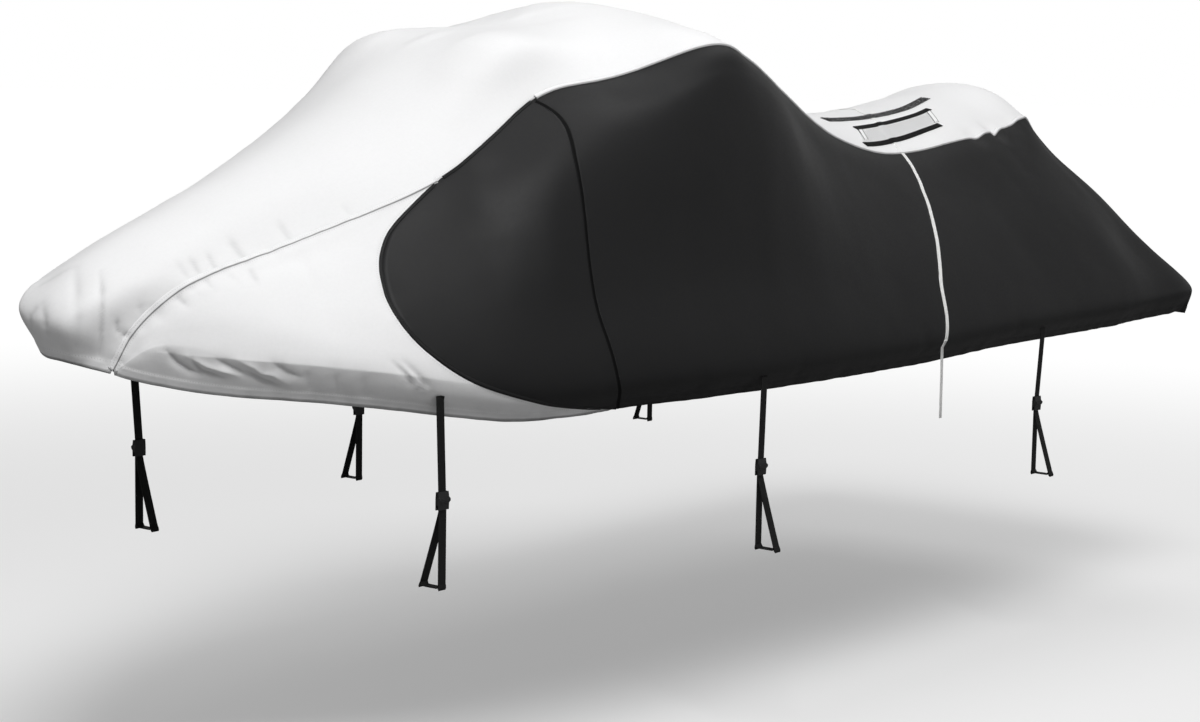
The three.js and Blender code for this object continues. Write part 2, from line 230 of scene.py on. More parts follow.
# How far dirt and, along the hem, painted shade reach from hems and seams, their share at seams, and the
# noise between which they show
DIRT_AND_SHADE = {"hem": 50 * MM, "seam": 16 * MM, "at_seams": 0.5, "shows": (0.35, 0.75), "roughness": 0.08}
# The painted shadow line along a hem ends softly between these distances
HEM_SHADOW = (3 * MM, 8 * MM)
RELIEF = {"weave": 0.035 * MM, "crumple": 0.077 * MM}
GRAIN_ROUGHNESS = 0.12


def woven(finish):
    """The relief of a plain weave, from -1 to 1, with threads that vary in thickness."""
    pitch, thin = WEAVE["pitch"], WEAVE["slub"]
    warp, weft = finish.wave(finish.across, pitch), finish.wave(finish.along, pitch)
    slub, pick = (finish.cloud(pitch, 1.0, finish.flat, way) for way in ((1, thin, 1), (thin, 1, 1)))
    return warp * weft * WEAVE["plain"] + (slub + pick - 1) * WEAVE["uneven"]


def stitched(finish, distance, place, run):
    """The threads of a row of stitches at a distance from an edge, and the row that they lie in."""
    row = finish.band(distance, place, THREAD["half"], THREAD["soft"])
    return row * finish.dashes(run, THREAD["pitch"], THREAD["share"]), row


def cloth_finish(name, colour, gloss, sheen, dirt_and_shade):
    """Coated polyester: weave, soft creasing, uneven tone, dirt along its seams, dirt and painted shade
    along its hem, a painted shadow line at its hem, painted shade in its creases, and rows of stitches.
    """
    finish = Finish(name, colour, gloss, sheen)
    hem, seam = finish.given("hem"), finish.given("seam")
    weave, mottle, grain = woven(finish), finish.cloud(*MOTTLE), finish.cloud(*GRAIN)
    hem_thread, hem_row = stitched(finish, hem, HEM_WIDTH, finish.given("hem_run"))
    seam_thread, seam_row = stitched(finish, seam, SEAM_ROW, finish.given("seam_run"))
    thread, row = hem_thread + seam_thread, hem_row + seam_row
    by_seam = (1 - finish.step(seam, 0.0, DIRT_AND_SHADE["seam"])) * DIRT_AND_SHADE["at_seams"]
    edge = (1 - finish.step(hem, 0.0, DIRT_AND_SHADE["hem"])) + by_seam
    # Dirt along the seams; along the hem this darkening is also painted shade
    wear = edge * finish.step(finish.cloud(*BLOTS), *DIRT_AND_SHADE["shows"])
    # A painted shadow line along the hem's edge
    rim = 1 - finish.step(hem, *HEM_SHADOW)
    uneven = (mottle - 0.5) * TONES["mottle"] + (grain - 0.5) * TONES["grain"] + weave * TONES["weave"]
    marked = wear * dirt_and_shade + (row - thread) * TONES["stitches"] + rim * TONES["rim"]
    # The creases are darkened as painted shade
    tone = 1 + uneven - marked - finish.given("crease") * TONES["crease"]
    height = weave * RELIEF["weave"] + finish.cloud(*CRUMPLE) * RELIEF["crumple"]
    height = height + thread * THREAD["rise"] - row * THREAD["sink"]
    rough = (grain - 0.5) * GRAIN_ROUGHNESS + GLOSS[gloss][0] + wear * DIRT_AND_SHADE["roughness"]
    return finish.finished(finish.shaded(tone), rough, height)


# Webbing's ribs: pitch, number across, slubs, and where the thick edge begins, as shares of the width
RIBS = {"pitch": 1.7 * MM, "across": 9, "slub": 2.2 * MM, "edge": (0.40, 0.47)}
# The wear on webbing's edges: pitch, detail, and the noise between which it shows
FRAY = {"pattern": (18 * MM, 3.0), "shows": (0.4, 0.7)}
RIB_TONES = {"slub": 0.5, "ribs": 0.08, "wear": 0.35, "thread": 0.9}
RIB_RELIEF = {"ribs": 0.12 * MM, "slub": 0.18 * MM, "edge": 0.25 * MM, "thread": 0.3 * MM, "sink": 0.2 * MM}
RIB_ROUGHNESS = 0.15
# The box of stitches at a tie's sewn end: its first and last bars, its sides' share of the width, its lines
BOX = {"first": 4 * MM, "last": 29 * MM, "side": 0.36, "line": 0.6 * MM, "soft": 0.3 * MM}
CROSS = {"line": 0.9 * MM, "slope": 1.75, "pitch": 3 * MM, "share": 0.7}


def webbing_finish(name, colour, gloss, width, sewn=False):
    """Woven webbing: ribs across, thick edges, and stitches boxed at its sewn end."""
    finish = Finish(name, colour, gloss)
    ribs = finish.wave(finish.along, RIBS["pitch"]) * finish.wave(finish.across, width / RIBS["across"])
    slub = finish.cloud(RIBS["slub"], 2.0, finish.flat)
    low, high = RIBS["edge"]
    edge = finish.step(abs(finish.across), width * low, width * high)
    wear = edge * finish.step(finish.cloud(*FRAY["pattern"]), *FRAY["shows"])
    tone = 1 + (slub - 0.5) * RIB_TONES["slub"] + ribs * RIB_TONES["ribs"] + wear * RIB_TONES["wear"]
    height = ribs * RIB_RELIEF["ribs"] + slub * RIB_RELIEF["slub"] + edge * RIB_RELIEF["edge"]
    if sewn:
        thread, stitch = boxed(finish, width)
        tone = tone + thread * RIB_TONES["thread"]
        height = height + thread * RIB_RELIEF["thread"] - stitch * RIB_RELIEF["sink"]
    return finish.finished(finish.shaded(tone), (slub - 0.5) * RIB_ROUGHNESS + GLOSS[gloss][0], height)


def boxed(finish, width):
    """The threads of a box of stitches with a cross in it, and the rows that they lie in."""
    first, last, line, soft = BOX["first"], BOX["last"], BOX["line"], BOX["soft"]
    middle, half = (first + last) / 2, (last - first) / 2
    end = finish.given("end")
    sides = finish.band(abs(finish.across), width * BOX["side"], line, soft)
    sides = sides * (1 - finish.step(end, last, last + MM))
    bars = finish.band(end, first, line, soft) + finish.band(end, last, line, soft)
    cross = finish.band(abs(finish.across) * CROSS["slope"], abs(end - middle), CROSS["line"], soft)
    inside = finish.band(end, middle, half, soft)
    stitch = finish.sum_of("MINIMUM", sides + bars + cross * inside, 1.0)
    return stitch * finish.dashes(end + finish.across, CROSS["pitch"], CROSS["share"]), stitch


def as_piece(name, shape, finish, *nodes):
    """An object of a bmesh that rides on the cover and stands for the named solids."""
    mesh = bpy.data.meshes.new(name)
    shape.to_mesh(mesh)
    shape.free()
    mesh.shade_smooth()
    mesh.materials.append(finish)
    piece = bpy.data.objects.new(name, mesh)
    bpy.context.scene.collection.objects.link(piece)
    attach(piece, BODY)
    if nodes:
        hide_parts(*nodes)
    return piece


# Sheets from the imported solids

WELD = 0.01 * MM
WALL = {"thickness": 2.4 * MM, "within": 0.04 * MM}
AXIS_HEIGHT = -0.75
SHARP = math.radians(50)
CORRECTIONS = 3
# The step by which a cut is turned to find its smallest rectangle, in degrees
TURN = 1.5


def numbers_of(items, key, size=1, kind=float):
    """The numbers that a mesh's items hold under a key, in rows of a size."""
    values = np.empty(size * len(items), dtype=kind)
    items.foreach_get(key, values)
    return values.reshape(-1, size) if size > 1 else values


def points_of(mesh):
    return numbers_of(mesh.vertices, "co", 3)


def normals_of(mesh):
    return numbers_of(mesh.vertex_normals, "vector", 3)


def move_to(mesh, places):
    mesh.vertices.foreach_set("co", places.ravel())
    mesh.update()


def keep_at_points(mesh, name, values):
    """Stores a number at each point of a mesh for its material to read."""
    mesh.attributes.new(name, "FLOAT", "POINT").data.foreach_set("value", values.astype(np.float32))


def unit(vectors):
    return vectors / np.maximum(np.linalg.norm(vectors, axis=-1, keepdims=True), 1e-9)


def soft_step(values, low, high):
    share = np.clip((values - low) / (high - low), 0, 1)
    return share * share * (3 - 2 * share)


def drift(places, pitch, seed):
    """Smooth noise from about -1 to 1 of a pitch in metres at each place."""
    return np.array([noise.noise(Vector(place) / pitch + Vector((seed, 0, 0))) for place in places])


def islands_of(skin, parts):
    """The groups of a mesh's faces whose shared edges pass a test."""
    left = set(skin.faces)
    islands = []
    for first in skin.faces:
        if first not in left:
            continue
        left.discard(first)
        front, island = [first], []
        while front:
            face = front.pop()
            island.append(face)
            for edge in face.edges:
                if parts(edge):
                    continue
                for other in edge.link_faces:
                    if other in left:
                        left.discard(other)
                        front.append(other)
        islands.append(island)
    return islands


def outward(faces):
    """How far a group of faces looks away from the cover's long axis."""
    total = 0.0
    for face in faces:
        middle = face.calc_center_median()
        total += face.calc_area() * face.normal.dot(Vector((0, middle.y, middle.z - AXIS_HEIGHT)))
    return total


def outer_skin(node, cloth=False):
    """A bmesh of a solid's outer skin in quads, without its rim and its inner skin."""
    skin = bmesh.new()
    skin.from_mesh(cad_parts[node].data)
    bmesh.ops.remove_doubles(skin, verts=skin.verts, dist=WELD)
    if cloth:
        rim = [
            face for face in skin.faces
            if any(abs(edge.calc_length() - WALL["thickness"]) < WALL["within"] for edge in face.edges)
        ]
        bmesh.ops.delete(skin, geom=rim, context="FACES")
        islands = islands_of(skin, lambda edge: False)
    else:
        islands = islands_of(skin, lambda edge: edge.calc_face_angle(math.pi) > SHARP)
    keep = set(max(islands, key=outward))
    bmesh.ops.delete(skin, geom=[face for face in skin.faces if face not in keep], context="FACES")
    join_halves(skin)
    return skin


def join_halves(skin):
    """Joins the triangles of a skin's grid across the diagonals that split its quads."""
    corner = next(point for point in skin.verts if len(point.link_edges) == 3 and point.is_boundary)
    ahead = [next(edge for edge in corner.link_edges if not edge.is_boundary)]
    joined, diagonals = set(), []
    while ahead:
        diagonal = ahead.pop()
        if joined.intersection(diagonal.link_faces):
            continue
        joined.update(diagonal.link_faces)
        diagonals.append(diagonal)
        for face in diagonal.link_faces:
            for side in face.edges:
                for other in side.link_faces:
                    if other in joined:
                        continue
                    start = next(point for point in side.verts if point not in diagonal.verts)
                    tip = next(point for point in other.verts if point not in side.verts)
                    ahead.append(next(edge for edge in start.link_edges if tip in edge.verts))
    bmesh.ops.dissolve_edges(skin, edges=diagonals, use_verts=False)


def mark_strip(skin):
    """Gives a strip's quads their flat cut's coordinates, across from its middle and along from its end."""
    layer = skin.loops.layers.uv.new(FLAT)
    ends = [point for point in skin.verts if len(point.link_faces) == 1]
    paths = []
    for first in (edge for edge in ends[0].link_edges if edge.is_boundary):
        row = [ends[0], first.other_vert(ends[0])]
        while row[-1] not in ends:
            row.append(next(
                edge.other_vert(row[-1]) for edge in row[-1].link_edges
                if edge.is_boundary and edge.other_vert(row[-1]) not in row
            ))
        paths.append(row)
    row = min(paths, key=len)
    used, marks, length = set(), {}, 0.0
    middle = (row[0].co + row[-1].co) / 2
    while row:
        now = (row[0].co + row[-1].co) / 2
        length += (now - middle).length
        middle = now
        offset = 0.0
        half = sum((b.co - a.co).length for a, b in zip(row, row[1:])) / 2
        for k, point in enumerate(row):
            offset += (point.co - row[k - 1].co).length if k else 0
            marks[point] = (offset - half, length)
        onward = []
        for a, b in zip(row, row[1:]):
            edge = next(edge for edge in a.link_edges if b in edge.verts)
            face = next((face for face in edge.link_faces if face not in used), None)
            if not face:
                break
            used.add(face)
            for point, other in ((a, b), (b, a)):
                links = [link for link in point.link_edges if link in face.edges and link != edge]
                beyond = links[0].other_vert(point)
                if beyond not in onward:
                    onward.append(beyond)
        row = onward
    for face in skin.faces:
        for corner in face.loops:
            corner[layer].uv = marks[corner.vert]


def shown(piece):
    """The piece as its modifiers leave it."""
    bpy.context.view_layer.update()
    return piece.evaluated_get(bpy.context.evaluated_depsgraph_get())


def finer(piece, levels):
    """Divides a piece's faces smoothly, through the points that it has."""
    smooth = piece.modifiers.new("finer", "SUBSURF")
    smooth.levels = smooth.render_levels = levels
    smooth.boundary_smooth = "PRESERVE_CORNERS"
    aims = points_of(piece.data)
    for _ in range(CORRECTIONS):
        smoothed = points_of(shown(piece).data)[:len(aims)]
        move_to(piece.data, points_of(piece.data) + aims - smoothed)
    mesh = bpy.data.meshes.new_from_object(shown(piece))
    piece.modifiers.clear()
    piece.data = mesh
    return piece


def split_rows(piece, first, last):
    """Halves the rows of a top panel's grid between two places along the cover."""
    grid = bmesh.new()
    grid.from_mesh(piece.data)
    ends = [
        edge for edge in grid.edges
        if edge.is_boundary and all(first < point.co.x < last and point.co.y < 0 for point in edge.verts)
    ]
    rows = []
    for edge in ends:
        rows.append(edge)
        face = edge.link_faces[0]
        while face:
            edge = next(side for side in face.edges if not set(side.verts) & set(edge.verts))
            rows.append(edge)
            face = next((other for other in edge.link_faces if other != face), None)
    bmesh.ops.subdivide_edges(grid, edges=rows, cuts=1, use_grid_fill=True)
    grid.to_mesh(piece.data)
    grid.free()


def thicken(piece, thickness, rounding=0.0):
    """Gives a sheet its thickness, inwards, and rounds its edges."""
    wall = piece.modifiers.new("thickness", "SOLIDIFY")
    wall.thickness = thickness
    wall.offset = -1
    if rounding:
        round_edges(piece, rounding, SHARP)


def round_edges(piece, width, angle):
    """Rounds a piece's edges that are sharper than an angle."""
    edge = piece.modifiers.new("edge", "BEVEL")
    edge.width = width
    edge.segments = 2
    edge.limit_method = "ANGLE"
    edge.angle_limit = angle


def flatten(piece):
    """Unwraps a piece to its flat cut in metres, its length along V. Gives its width, length and area."""
    bpy.context.view_layer.objects.active = piece
    piece.select_set(True)
    bpy.ops.object.mode_set(mode="EDIT")
    bpy.ops.mesh.select_all(action="SELECT")
    bpy.ops.uv.unwrap(method="ANGLE_BASED", margin=0)
    bpy.ops.object.mode_set(mode="OBJECT")
    piece.select_set(False)
    layer = piece.data.uv_layers.active
    layer.name = FLAT
    flat = numbers_of(layer.data, "uv", 2)
    area = cut = 0.0
    for face in piece.data.polygons:
        corners = flat[face.loop_start:face.loop_start + face.loop_total]
        after = np.roll(corners, -1, axis=0)
        cut += abs((corners[:, 0] * after[:, 1] - after[:, 0] * corners[:, 1]).sum()) / 2
        area += face.area
    flat = flat * math.sqrt(area / cut)
    turns = [
        flat @ np.array(((math.cos(angle), -math.sin(angle)), (math.sin(angle), math.cos(angle))))
        for angle in np.radians(np.arange(0, 180, TURN))
    ]
    upright = [turned for turned in turns if np.ptp(turned[:, 0]) <= np.ptp(turned[:, 1])]
    flat = min(upright, key=lambda turned: np.prod(np.ptp(turned, axis=0)))
    flat -= (flat.min(axis=0) + flat.max(axis=0)) / 2
    layer.data.foreach_set("uv", flat.ravel())
    width, length = np.ptp(flat, axis=0)
    return width, length, area


# Edges and seams

FAR = 1.0
SEWN = 2.5 * MM
BESIDE_SEAM = 12 * MM


def open_edges(mesh):
    """The pairs of points that a mesh's open edges join."""
    used = numbers_of(mesh.loops, "edge_index", kind=int)
    pairs = numbers_of(mesh.edges, "vertices", 2, int)
    return pairs[np.bincount(used, minlength=len(pairs)) == 1]


def runs_of(pairs):
    """The runs of points that pairs make, end to end."""
    beside = {}
    for a, b in pairs.tolist():
        beside.setdefault(a, []).append(b)
        beside.setdefault(b, []).append(a)
    runs = []
    left = set(beside)
    for start in sorted(beside, key=lambda point: (len(beside[point]), point)):
        if start not in left:
            continue
        run = [start]
        left.discard(start)
        while onward := [point for point in beside[run[-1]] if point in left]:
            run.append(onward[0])
            left.discard(onward[0])
        runs.append(run)
    return [run for run in runs if len(run) > 1]


def nearest_on_runs(places, runs):
    """Each place's distance from the nearest run of points, its foot there and the run's length to it."""
    distance = np.full(len(places), FAR)
    foot = np.array(places)
    length = np.zeros(len(places))
    done = 0.0
    for run in runs:
        for a, b in zip(places[run[:-1]], places[run[1:]]):
            way = b - a
            size = np.linalg.norm(way)
            share = np.clip(((places - a) @ way) / size**2, 0, 1)
            near = a + share[:, None] * way
            gap = np.linalg.norm(places - near, axis=1)
            closer = gap < distance
            distance[closer] = gap[closer]
            foot[closer] = near[closer]
            length[closer] = done + share[closer] * size
            done += size
    return distance, foot, length


def tree_of(pieces):
    """A search tree over the faces of some pieces."""
    places, faces = [], []
    for piece in pieces:
        first = len(places)
        places.extend(point.co[:] for point in piece.data.vertices)
        faces.extend([first + corner for corner in face.vertices] for face in piece.data.polygons)
    return BVHTree.FromPolygons(places, faces)


def sort_edges(panels):
    """The open edges of each panel: its seams, by the panel across, and its hem."""
    trees = {name: tree_of([piece]) for name, piece in panels.items()}
    seams, hems = {}, {name: [] for name in panels}
    for name, piece in panels.items():
        places = points_of(piece.data)
        for pair in open_edges(piece.data):
            middle = Vector(places[pair].mean(axis=0))
            near = [
                (found[3], other) for other, tree in trees.items()
                if other != name and (found := tree.find_nearest(middle, SEWN))[0] is not None
            ]
            if near:
                seams.setdefault((name, min(near)[1]), []).append(pair)
            else:
                hems[name].append(pair)
    return seams, hems


# Folds

# A fold: the places along it in millimetres, its half width, its height, below 0 for a trough, and its
# sharpness, from 1 for a crease to 2 for a soft hollow. Folds of the port side are mirrored to starboard.
FOLDS = (
    # nose
    (((-1292, -53, -498), (-1313, -82, -526), (-1324, -96, -555), (-1326, -96, -594),
      (-1322, -87, -640)), 7, -5.0, 1.2),
    (((-1288, -45, -500), (-1305, -72, -530), (-1316, -86, -560), (-1318, -88, -600)), 12, 2.4, 2),
    (((-1305, -5, -493), (-1341, -51, -530), (-1361, -77, -572), (-1360, -67, -620)), 12, -2.8, 1.6),
    (((-1379, -3, -554), (-1389, -20, -574), (-1386, -21, -599)), 10, -3.0, 1.5),
    (((-1301, -106, -574), (-1299, -106, -591), (-1294, -108, -606)), 6, -4.0, 1.3),
    (((-1291, -110, -600), (-1283, -113, -610)), 6, -3.6, 1.3),
    (((-1345, -40, -600), (-1335, -66, -628), (-1322, -84, -655)), 22, -4.0, 2),
    # above the bow seam
    (((-1261, -120, -549), (-1258, -125, -574)), 9, -2.2, 1.5),
    (((-1176, -120, -480), (-1172, -148, -512)), 9, -1.8, 1.5),
    (((-1150, -128, -474), (-1149, -153, -506)), 9, -2.8, 1.4),
    (((-1115, -134, -466), (-1118, -161, -499)), 8, -2.8, 1.4),
    (((-1059, -132, -443), (-1055, -171, -485)), 12, -3.0, 1.5),
    (((-957, -152, -416), (-957, -185, -452)), 10, -2.2, 1.5),
    (((-839, -198, -382), (-837, -220, -406)), 9, -1.4, 1.6),
    # below the bow seam
    (((-1202, -147, -539), (-1193, -166, -555)), 8, -2.8, 1.4),
    (((-1175, -150, -524), (-1164, -172, -545)), 8, -1.8, 1.5),
    (((-1144, -158, -510), (-1140, -178, -530)), 8, -2.4, 1.4),
    (((-1100, -170, -503), (-1092, -196, -528)), 9, -1.6, 1.6),
    (((-1058, -182, -492), (-1065, -210, -520)), 10, -2.2, 1.5),
    (((-958, -194, -458), (-966, -225, -487), (-982, -273, -537), (-991, -298, -570)), 16, -2.6, 1.7),
    (((-1214, -145, -550), (-1243, -139, -582), (-1269, -132, -634)), 16, -2.6, 1.8),
    (((-1180, -162, -560), (-1200, -158, -600), (-1225, -152, -640)), 18, 1.6, 2),
    # under the knuckle of the bow
    (((-1236, -161, -632), (-1220, -169, -652), (-1200, -181, -668), (-1187, -190, -673)), 7, -6.0, 1.2),
    (((-1209, -182, -641), (-1180, -202, -660), (-1151, -222, -671), (-1134, -233, -677)), 7, 4.4, 1.4),
    (((-1201, -187, -647), (-1187, -193, -667), (-1155, -214, -681)), 6, -5.2, 1.2),
    (((-1168, -215, -647), (-1139, -234, -666), (-1123, -242, -677)), 7, -5.0, 1.2),
    (((-1141, -237, -648), (-1117, -253, -662), (-1104, -260, -674), (-1089, -271, -676),
      (-1063, -283, -695)), 7, 4.0, 1.3),
    (((-1125, -244, -670), (-1096, -259, -689), (-1073, -273, -699)), 8, -5.2, 1.3),
    (((-1090, -276, -654), (-1069, -288, -672), (-1050, -300, -682)), 8, -4.4, 1.3),
    (((-1045, -307, -665), (-1032, -307, -692), (-1020, -302, -717)), 14, -2.4, 1.7),
    (((-1001, -338, -670), (-988, -336, -700), (-976, -331, -724)), 13, -2.0, 1.7),
    (((-957, -364, -675), (-944, -360, -706), (-931, -352, -733)), 15, -2.2, 1.8),
    (((-904, -390, -660), (-883, -403, -682), (-859, -408, -713)), 7, -4.8, 1.2),
    (((-892, -396, -664), (-873, -408, -686), (-849, -411, -717)), 6, 3.0, 1.4),
    (((-883, -400, -660), (-860, -414, -687), (-835, -418, -718)), 7, -4.4, 1.3),
    # the knuckle itself, and the hem tucked in below it
    (((-1248, -150, -634), (-1191, -197, -641), (-1109, -262, -651), (-1023, -325, -662), (-929, -382, -676),
      (-869, -410, -686), (-767, -454, -706)), 20, 5.0, 1.0),
    (((-1248, -130, -692), (-1177, -182, -709), (-1106, -234, -721), (-1033, -285, -730), (-955, -333, -741),
      (-870, -376, -756), (-777, -415, -772), (-638, -465, -790), (-451, -507, -791), (-181, -545, -787),
      (143, -565, -787), (523, -572, -787), (962, -572, -776), (1400, -566, -770),
      (1900, -556, -764)), 34, -8.0, 2),
    # broad rises and hollows of the light cloth
    (((-400, -130, -75), (-390, 0, -68)), 75, -7.0, 2),
    (((-150, -110, -45), (-110, 0, -22)), 120, -5.0, 2),
    (((-466, -160, -116), (-540, -185, -185), (-613, -207, -255)), 55, 4.0, 2),
    (((-1115, -243, -598), (-1044, -296, -613), (-956, -359, -640)), 34, 2.4, 2),
    (((-760, -60, -240), (-900, -70, -330), (-1040, -60, -400)), 90, -5.0, 2),
    # dark cloth
    (((-574, -275, -291), (-600, -343, -363), (-626, -399, -453)), 60, -6.0, 2),
    (((-422, -372, -271), (-517, -435, -418), (-556, -490, -601)), 40, 2.5, 2),
    (((-260, -350, -170), (-170, -378, -165), (-90, -400, -170)), 40, 3.0, 2),
    (((-116, -483, -293), (-180, -510, -468), (-207, -560, -642)), 55, -3.0, 2),
    (((120, -470, -250), (80, -520, -430), (60, -575, -640)), 45, 2.2, 2),
    (((772, -403, -431), (545, -523, -549), (441, -594, -669)), 60, -3.0, 2),
    (((1228, -346, -377), (1186, -459, -492), (1147, -569, -628)), 60, -3.0, 2),
    (((1453, -285, -320), (1440, -330, -360), (1420, -380, -410)), 26, -2.6, 1.7),
    (((1345, -290, -325), (1338, -350, -385), (1330, -420, -450)), 30, -2.0, 1.8),
    (((1660, -240, -290), (1700, -330, -390), (1760, -430, -520)), 34, -2.4, 1.8),
    # under the knuckle of the dark cloth
    (((-480, -520, -690), (-450, -520, -750)), 20, -2.5, 1.6),
    (((-220, -560, -710), (-200, -560, -770)), 22, -2.5, 1.6),
    (((90, -585, -710), (110, -585, -770)), 20, -2.0, 1.6),
    (((560, -600, -700), (590, -595, -760)), 22, -2.2, 1.6),
    (((980, -600, -700), (1000, -595, -760)), 20, -2.0, 1.6),
    # stern
    (((1940, -300, -600), (1985, -300, -700)), 30, -2.4, 1.8),
    (((1925, -60, -590), (1980, -70, -690)), 34, -2.4, 1.8),
    (((1850, -150, -430), (1930, -170, -560)), 40, -3.0, 2),
)
# Each fold keeps this share of its height at its ends, and reaches the whole within this share of its length
FOLD_ENDS, FOLD_FADE = 0.35, 0.3
# Folds sharper than SOFT get painted shade in their creases, fully at DEEP millimetres, in this share of
# their width
SOFT, DEEP, CREASE_SHARE = 1.65, 4.0, 0.6

# Waves of the seat's edge: the place along the cover, the half length and the rise, in millimetres
SEAT_WAVES = (
    (1345, 32, -7), (1395, 26, 2), (1431, 16, 3), (1453, 22, -12), (1490, 30, 3), (1568, 24, -3),
    (1660, 24, 7),
)
# How far the waves reach, the heights between which the seat's edge begins, and their share to starboard
SEAT = {"reach": 34 * MM, "heights": (-0.42, -0.36), "starboard": 0.7}

# Uneven cloth: pitch and depth of each size of drift, in metres
DRIFTS = ((0.34, 3.2 * MM), (0.13, 1.1 * MM), (0.055, 0.4 * MM))
# Puckers along the seams: pitch, reach, depth at the bow and elsewhere, and where one turns to the other
PUCKER = {"pitch": 26 * MM, "reach": 20 * MM, "bow": 2.6 * MM, "rest": 0.4 * MM, "stretch": (0.75, 0.95)}
GATHER = {"pitch": 34 * MM, "reach": 34 * MM, "depth": 1.5 * MM}
# The double cloth of the hem: its rise, and the distances between which it ends
HEM = {"rise": 1.1 * MM, "ends": (HEM_WIDTH - 4 * MM, HEM_WIDTH + 3 * MM)}
SEEDS = {"drift": 7, "pucker": 31, "gather": 53}


def fold_heights(places):
    """How far the folds move each place along its normal, and how deep it lies in the creases."""
    height = np.zeros(len(places))
    crease = np.zeros(len(places))
    mirrored = places * (1, -1, 1)
    for path, width, depth, sharpness in FOLDS:
        corners = np.array(path) * MM
        sizes = np.linalg.norm(np.diff(corners, axis=0), axis=1)
        starts = np.concatenate([[0], np.cumsum(sizes)])
        for seen in (places, mirrored):
            gap = np.full(len(places), FAR)
            share = np.zeros(len(places))
            for a, b, start, size in zip(corners[:-1], corners[1:], starts, sizes):
                along = np.clip(((seen - a) @ (b - a)) / size**2, 0, 1)
                distance = np.linalg.norm(seen - (a + along[:, None] * (b - a)), axis=1)
                closer = distance < gap
                gap[closer] = distance[closer]
                share[closer] = (start + along[closer] * size) / starts[-1]
            ends = FOLD_ENDS + (1 - FOLD_ENDS) * soft_step(np.minimum(share, 1 - share), 0, FOLD_FADE)
            height += depth * MM * ends * np.exp(-((gap / (width * MM)) ** sharpness))
            if depth < 0 and sharpness < SOFT:
                crease += -depth / DEEP * ends * np.exp(-((gap / (width * MM * CREASE_SHARE)) ** 2))
    return height, np.minimum(crease, 1)


def unevenness(places, seam, seam_foot, hem, hem_foot):
    """How far drifts, puckers, gathers and the hem's double cloth move each place along its normal."""
    height = np.zeros(len(places))
    for turn, (pitch, depth) in enumerate(DRIFTS):
        height += depth * drift(places, pitch, SEEDS["drift"] * turn)
    bow = soft_step(-seam_foot[:, 0], *PUCKER["stretch"])
    depth = PUCKER["rest"] + (PUCKER["bow"] - PUCKER["rest"]) * bow
    reach = np.exp(-((seam / PUCKER["reach"]) ** 2))
    height += depth * reach * drift(seam_foot, PUCKER["pitch"], SEEDS["pucker"])
    gathered = GATHER["depth"] * np.exp(-((hem / GATHER["reach"]) ** 2))
    height += gathered * drift(hem_foot, GATHER["pitch"], SEEDS["gather"])
    return height + HEM["rise"] * (1 - soft_step(hem, *HEM["ends"]))


def wave_seat(places, seam, seam_foot):
    """Raises and lowers the cloth beside the seat's edge in waves."""
    by_seat = np.exp(-((seam / SEAT["reach"]) ** 2)) * soft_step(seam_foot[:, 2], *SEAT["heights"])
    side = np.where(seam_foot[:, 1] < 0, 1, SEAT["starboard"])
    for middle, half, rise in SEAT_WAVES:
        wave = np.exp(-(((seam_foot[:, 0] - middle * MM) / (half * MM)) ** 2))
        places[:, 2] += rise * MM * wave * by_seat * side


def fold(panels):
    """Gives the panels their folds, keeps each point's distance from hem and seams, and gives the seams."""
    seams, hems = sort_edges(panels)
    rest = {name: points_of(piece.data) for name, piece in panels.items()}
    own = {name: normals_of(piece.data) for name, piece in panels.items()}
    sewn = {
        name: np.array([pair for (first, _), pairs in seams.items() if first == name for pair in pairs])
        for name in panels
    }
    along_seams = [(rest[name][i], own[name][i]) for name in panels for i in np.unique(sewn[name])]
    beside = KDTree(len(along_seams))
    for k, (place, _) in enumerate(along_seams):
        beside.insert(place, k)
    beside.balance()
    for name, piece in panels.items():
        places, normals = rest[name], own[name].copy()
        seam, seam_foot, seam_run = nearest_on_runs(places, runs_of(sewn[name]))
        hem, hem_foot, hem_run = nearest_on_runs(places, runs_of(np.array(hems[name])))
        for i in np.flatnonzero(seam < 3 * BESIDE_SEAM):
            shared = sum(along_seams[k][1] for _, k, _ in beside.find_range(seam_foot[i], BESIDE_SEAM))
            share = math.exp(-((seam[i] / BESIDE_SEAM) ** 2))
            normals[i] = unit(normals[i] * (1 - share) + unit(shared) * share)
        height, crease = fold_heights(places)
        height += unevenness(places, seam, seam_foot, hem, hem_foot)
        moved = places + normals * (height * bpy.context.scene.cover.depth)[:, None]
        wave_seat(moved, seam, seam_foot)
        move_to(piece.data, moved)
        kept = {"hem": hem, "hem_run": hem_run, "seam": seam, "seam_run": seam_run, "crease": crease}
        for label, values in kept.items():
            keep_at_points(piece.data, label, values)
    return seams


# Strips that lie on the cloth

REACH = 80 * MM
# What hangs free leaves the cloth between these distances from it
FREE = (7 * MM, 24 * MM)
# The step along a strip within which its points count as one row
ROW = 0.1 * MM


def laid(ground, place):
    """The nearest point of the cloth and the way out of it there."""
    found, out, _, _ = ground.find_nearest(Vector(place), REACH)
    return (np.array(found), np.array(out)) if found else (np.array(place), np.array((0, 0, 1.0)))


